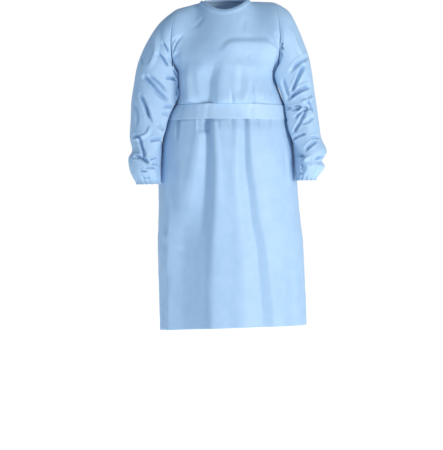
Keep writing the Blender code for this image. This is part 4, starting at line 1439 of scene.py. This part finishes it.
    def tail(self, side: Side) -> bpy.types.Object:
        """Makes a loose end of the belt.

        Args:
            side: The side that it leans to.

        Returns:
            The finished piece.
        """
        back = self.behind()
        width, depth, height = self.knot_size
        top = back[2] - height / 2 - self.seam_gap
        hand = side.value
        length = self.tail_length * (1 - self.tail_shortfall[hand > 0])
        rows = np.linspace(1, 0, self.tail_rows)
        down, across = np.meshgrid(rows, np.linspace(1, -1, self.tail_columns), indexing="ij")
        drop = length * down
        opened = ramp(down, 0, self.tail_open_at)
        spread = self.tail_width / 2 * (self.tail_gather + (1 - self.tail_gather) * opened)
        lean = hand * (width / 4 + self.tail_parting * opened + self.tail_lean * down)
        x = back[0] + lean + spread * across
        radius = self.form.body_size(top - drop, "left")
        turn = math.pi - np.arcsin(np.clip((x - back[0]) / radius, -1, 1))
        behind = self.form.body_point(turn, top - drop)[..., 1] + self.tail_stand_off
        settled = ramp(down, 0, self.tail_settled_at)
        hang = back[1] + depth / 2
        y = hang * (1 - settled) + behind * settled - self.tail_cup * across**2 * hand
        pleat = self.tail_pleat * np.cos(across * self.tail_pleats) * (1 - opened)
        curl = self.tail_curl * np.sin(down * self.tail_curls + hand)
        curl = curl * ramp(down, *self.tail_curl_from)
        points = np.stack([x, y + pleat + curl, top - drop], axis=-1)
        name = side.name.lower()
        piece = Cloth(f"gown_belt_tail_{name}", points).make(self.finish, self.wall)
        stand_in(piece, f"belt_tail_{name}")
        return piece


@dataclass
class Studio:
    """The floor, the light and the camera."""

    floor_height: float = -1.455
    floor_size: float = 40.0
    floor_glow: float = 0.78
    camera_place: tuple[float, float, float] = (-0.0117, -6.0, -0.747)
    frame_height: float = 1.5075
    sensor: float = 36.0
    fill: float = 0.42
    fill_shade: str = "DAEDFF"
    key_place: tuple[float, float, float] = (4.0, -4.3, -0.2)
    key_aim: tuple[float, float, float] = (0.0, 0.0, -0.55)
    key_size: float = 1.2
    key_power: float = 200.0
    key_shade: str = "FFF3E6"

    def floor(self) -> None:
        """Lays a plain pale floor."""
        bpy.ops.object.select_all(action="DESELECT")
        bpy.ops.mesh.primitive_plane_add(size=self.floor_size, location=(0, 0, self.floor_height))
        ground = bpy.context.object
        ground.name = "studio_floor"
        paint = bpy.data.materials.new("painted_studio_floor")
        paint.use_nodes = True
        shader = paint.node_tree.nodes["Principled BSDF"]
        shader.inputs["Base Color"].default_value = linear("FAFAFA")
        shader.inputs["Roughness"].default_value = 0.9
        shader.inputs["Emission Color"].default_value = linear("FFFFFF")
        shader.inputs["Emission Strength"].default_value = self.floor_glow
        ground.data.materials.append(paint)

    def key_light(self) -> None:
        """Hangs one soft light that faces the gown's middle."""
        lamp = bpy.data.lights.new("key_light", "AREA")
        lamp.size = self.key_size
        lamp.energy = self.key_power
        lamp.color = linear(self.key_shade)[:3]
        hung = bpy.data.objects.new("key_light", lamp)
        bpy.context.scene.collection.objects.link(hung)
        hung.location = self.key_place
        way = unit(np.array(self.key_aim) - np.array(self.key_place))
        turn = math.atan2(way[1], way[0]) - math.pi / 2
        hung.rotation_euler = (math.acos(-way[2]), 0.0, turn)

    def backdrop(self) -> None:
        """Shows a white backdrop, which lights the gown with less than it shows."""
        world = bpy.data.worlds.new("studio_white")
        world.use_nodes = True
        bpy.context.scene.world = world
        tree = world.node_tree
        seen = add_node(tree, "ShaderNodeLightPath", {})
        light = tree.nodes["Background"]
        light.inputs["Color"].default_value = linear(self.fill_shade)
        light.inputs["Strength"].default_value = self.fill
        shown = add_node(tree, "ShaderNodeBackground", {"Color": linear("FFFFFF")})
        inputs = {"0": seen.outputs["Is Camera Ray"], "1": light.outputs[0], "2": shown.outputs[0]}
        both = add_node(tree, "ShaderNodeMixShader", inputs)
        tree.links.new(both.outputs["Shader"], tree.nodes["World Output"].inputs["Surface"])

    def camera(self) -> None:
        """Sets the camera where the photo was taken from."""
        shutter = bpy.data.cameras.new("photo_camera")
        shutter.sensor_width = self.sensor
        shutter.lens = self.sensor * -self.camera_place[1] / self.frame_height
        camera = bpy.data.objects.new("photo_camera", shutter)
        bpy.context.scene.collection.objects.link(camera)
        camera.location = self.camera_place
        camera.rotation_euler = (math.pi / 2, 0.0, 0.0)
        bpy.context.scene.camera = camera

    def build(self) -> None:
        """Sets the studio up round the gown."""
        bpy.context.scene.view_settings.view_transform = "Standard"
        self.backdrop()
        self.floor()
        self.key_light()
        self.camera()


def main() -> None:
    """Builds the gown's pieces in the order in which they are sewn, and then the studio."""
    form = GownForm()
    cloth = Nonwoven("bonded_nonwoven").build()
    cuff_cloth = Nonwoven("bonded_nonwoven_gathered", roughness=0.55).build()
    tape = Nonwoven("bonded_nonwoven_tape", shade="93B5D9", thin_shade="99BBDD").build()
    belt_cloth = Nonwoven("bonded_nonwoven_belt", shade="A4C5E5", thin_shade="A9C9E8").build()
    panels = Panels(form, cloth)
    pieces = [panels.front(), *panels.backs()]
    for side, rings, creases, back_creases in (
        (Side.RIGHT, RIGHT_SLEEVE_RINGS, RIGHT_SLEEVE_CREASES, SLEEVE_BACK_CREASES),
        (Side.LEFT, LEFT_SLEEVE_RINGS, LEFT_SLEEVE_CREASES, mirrored(SLEEVE_BACK_CREASES, 28)),
    ):
        sleeve = Sleeve(form, side, rings, creases, back_creases, cloth, cuff_cloth)
        pieces += [sleeve.sleeve(), sleeve.cuff()]
    pieces.append(NeckBinding(form, tape).build())
    belt = Belt(form, belt_cloth)
    pieces += [belt.band(), belt.knot(), belt.tail(Side.RIGHT), belt.tail(Side.LEFT)]
    for piece in pieces:
        LOG.info("%s: %d faces", piece.name, len(piece.data.polygons))
    Studio().build()


if __name__ == "__main__":
    logging.basicConfig(level=logging.INFO, format="%(name)s: %(message)s")
    main()
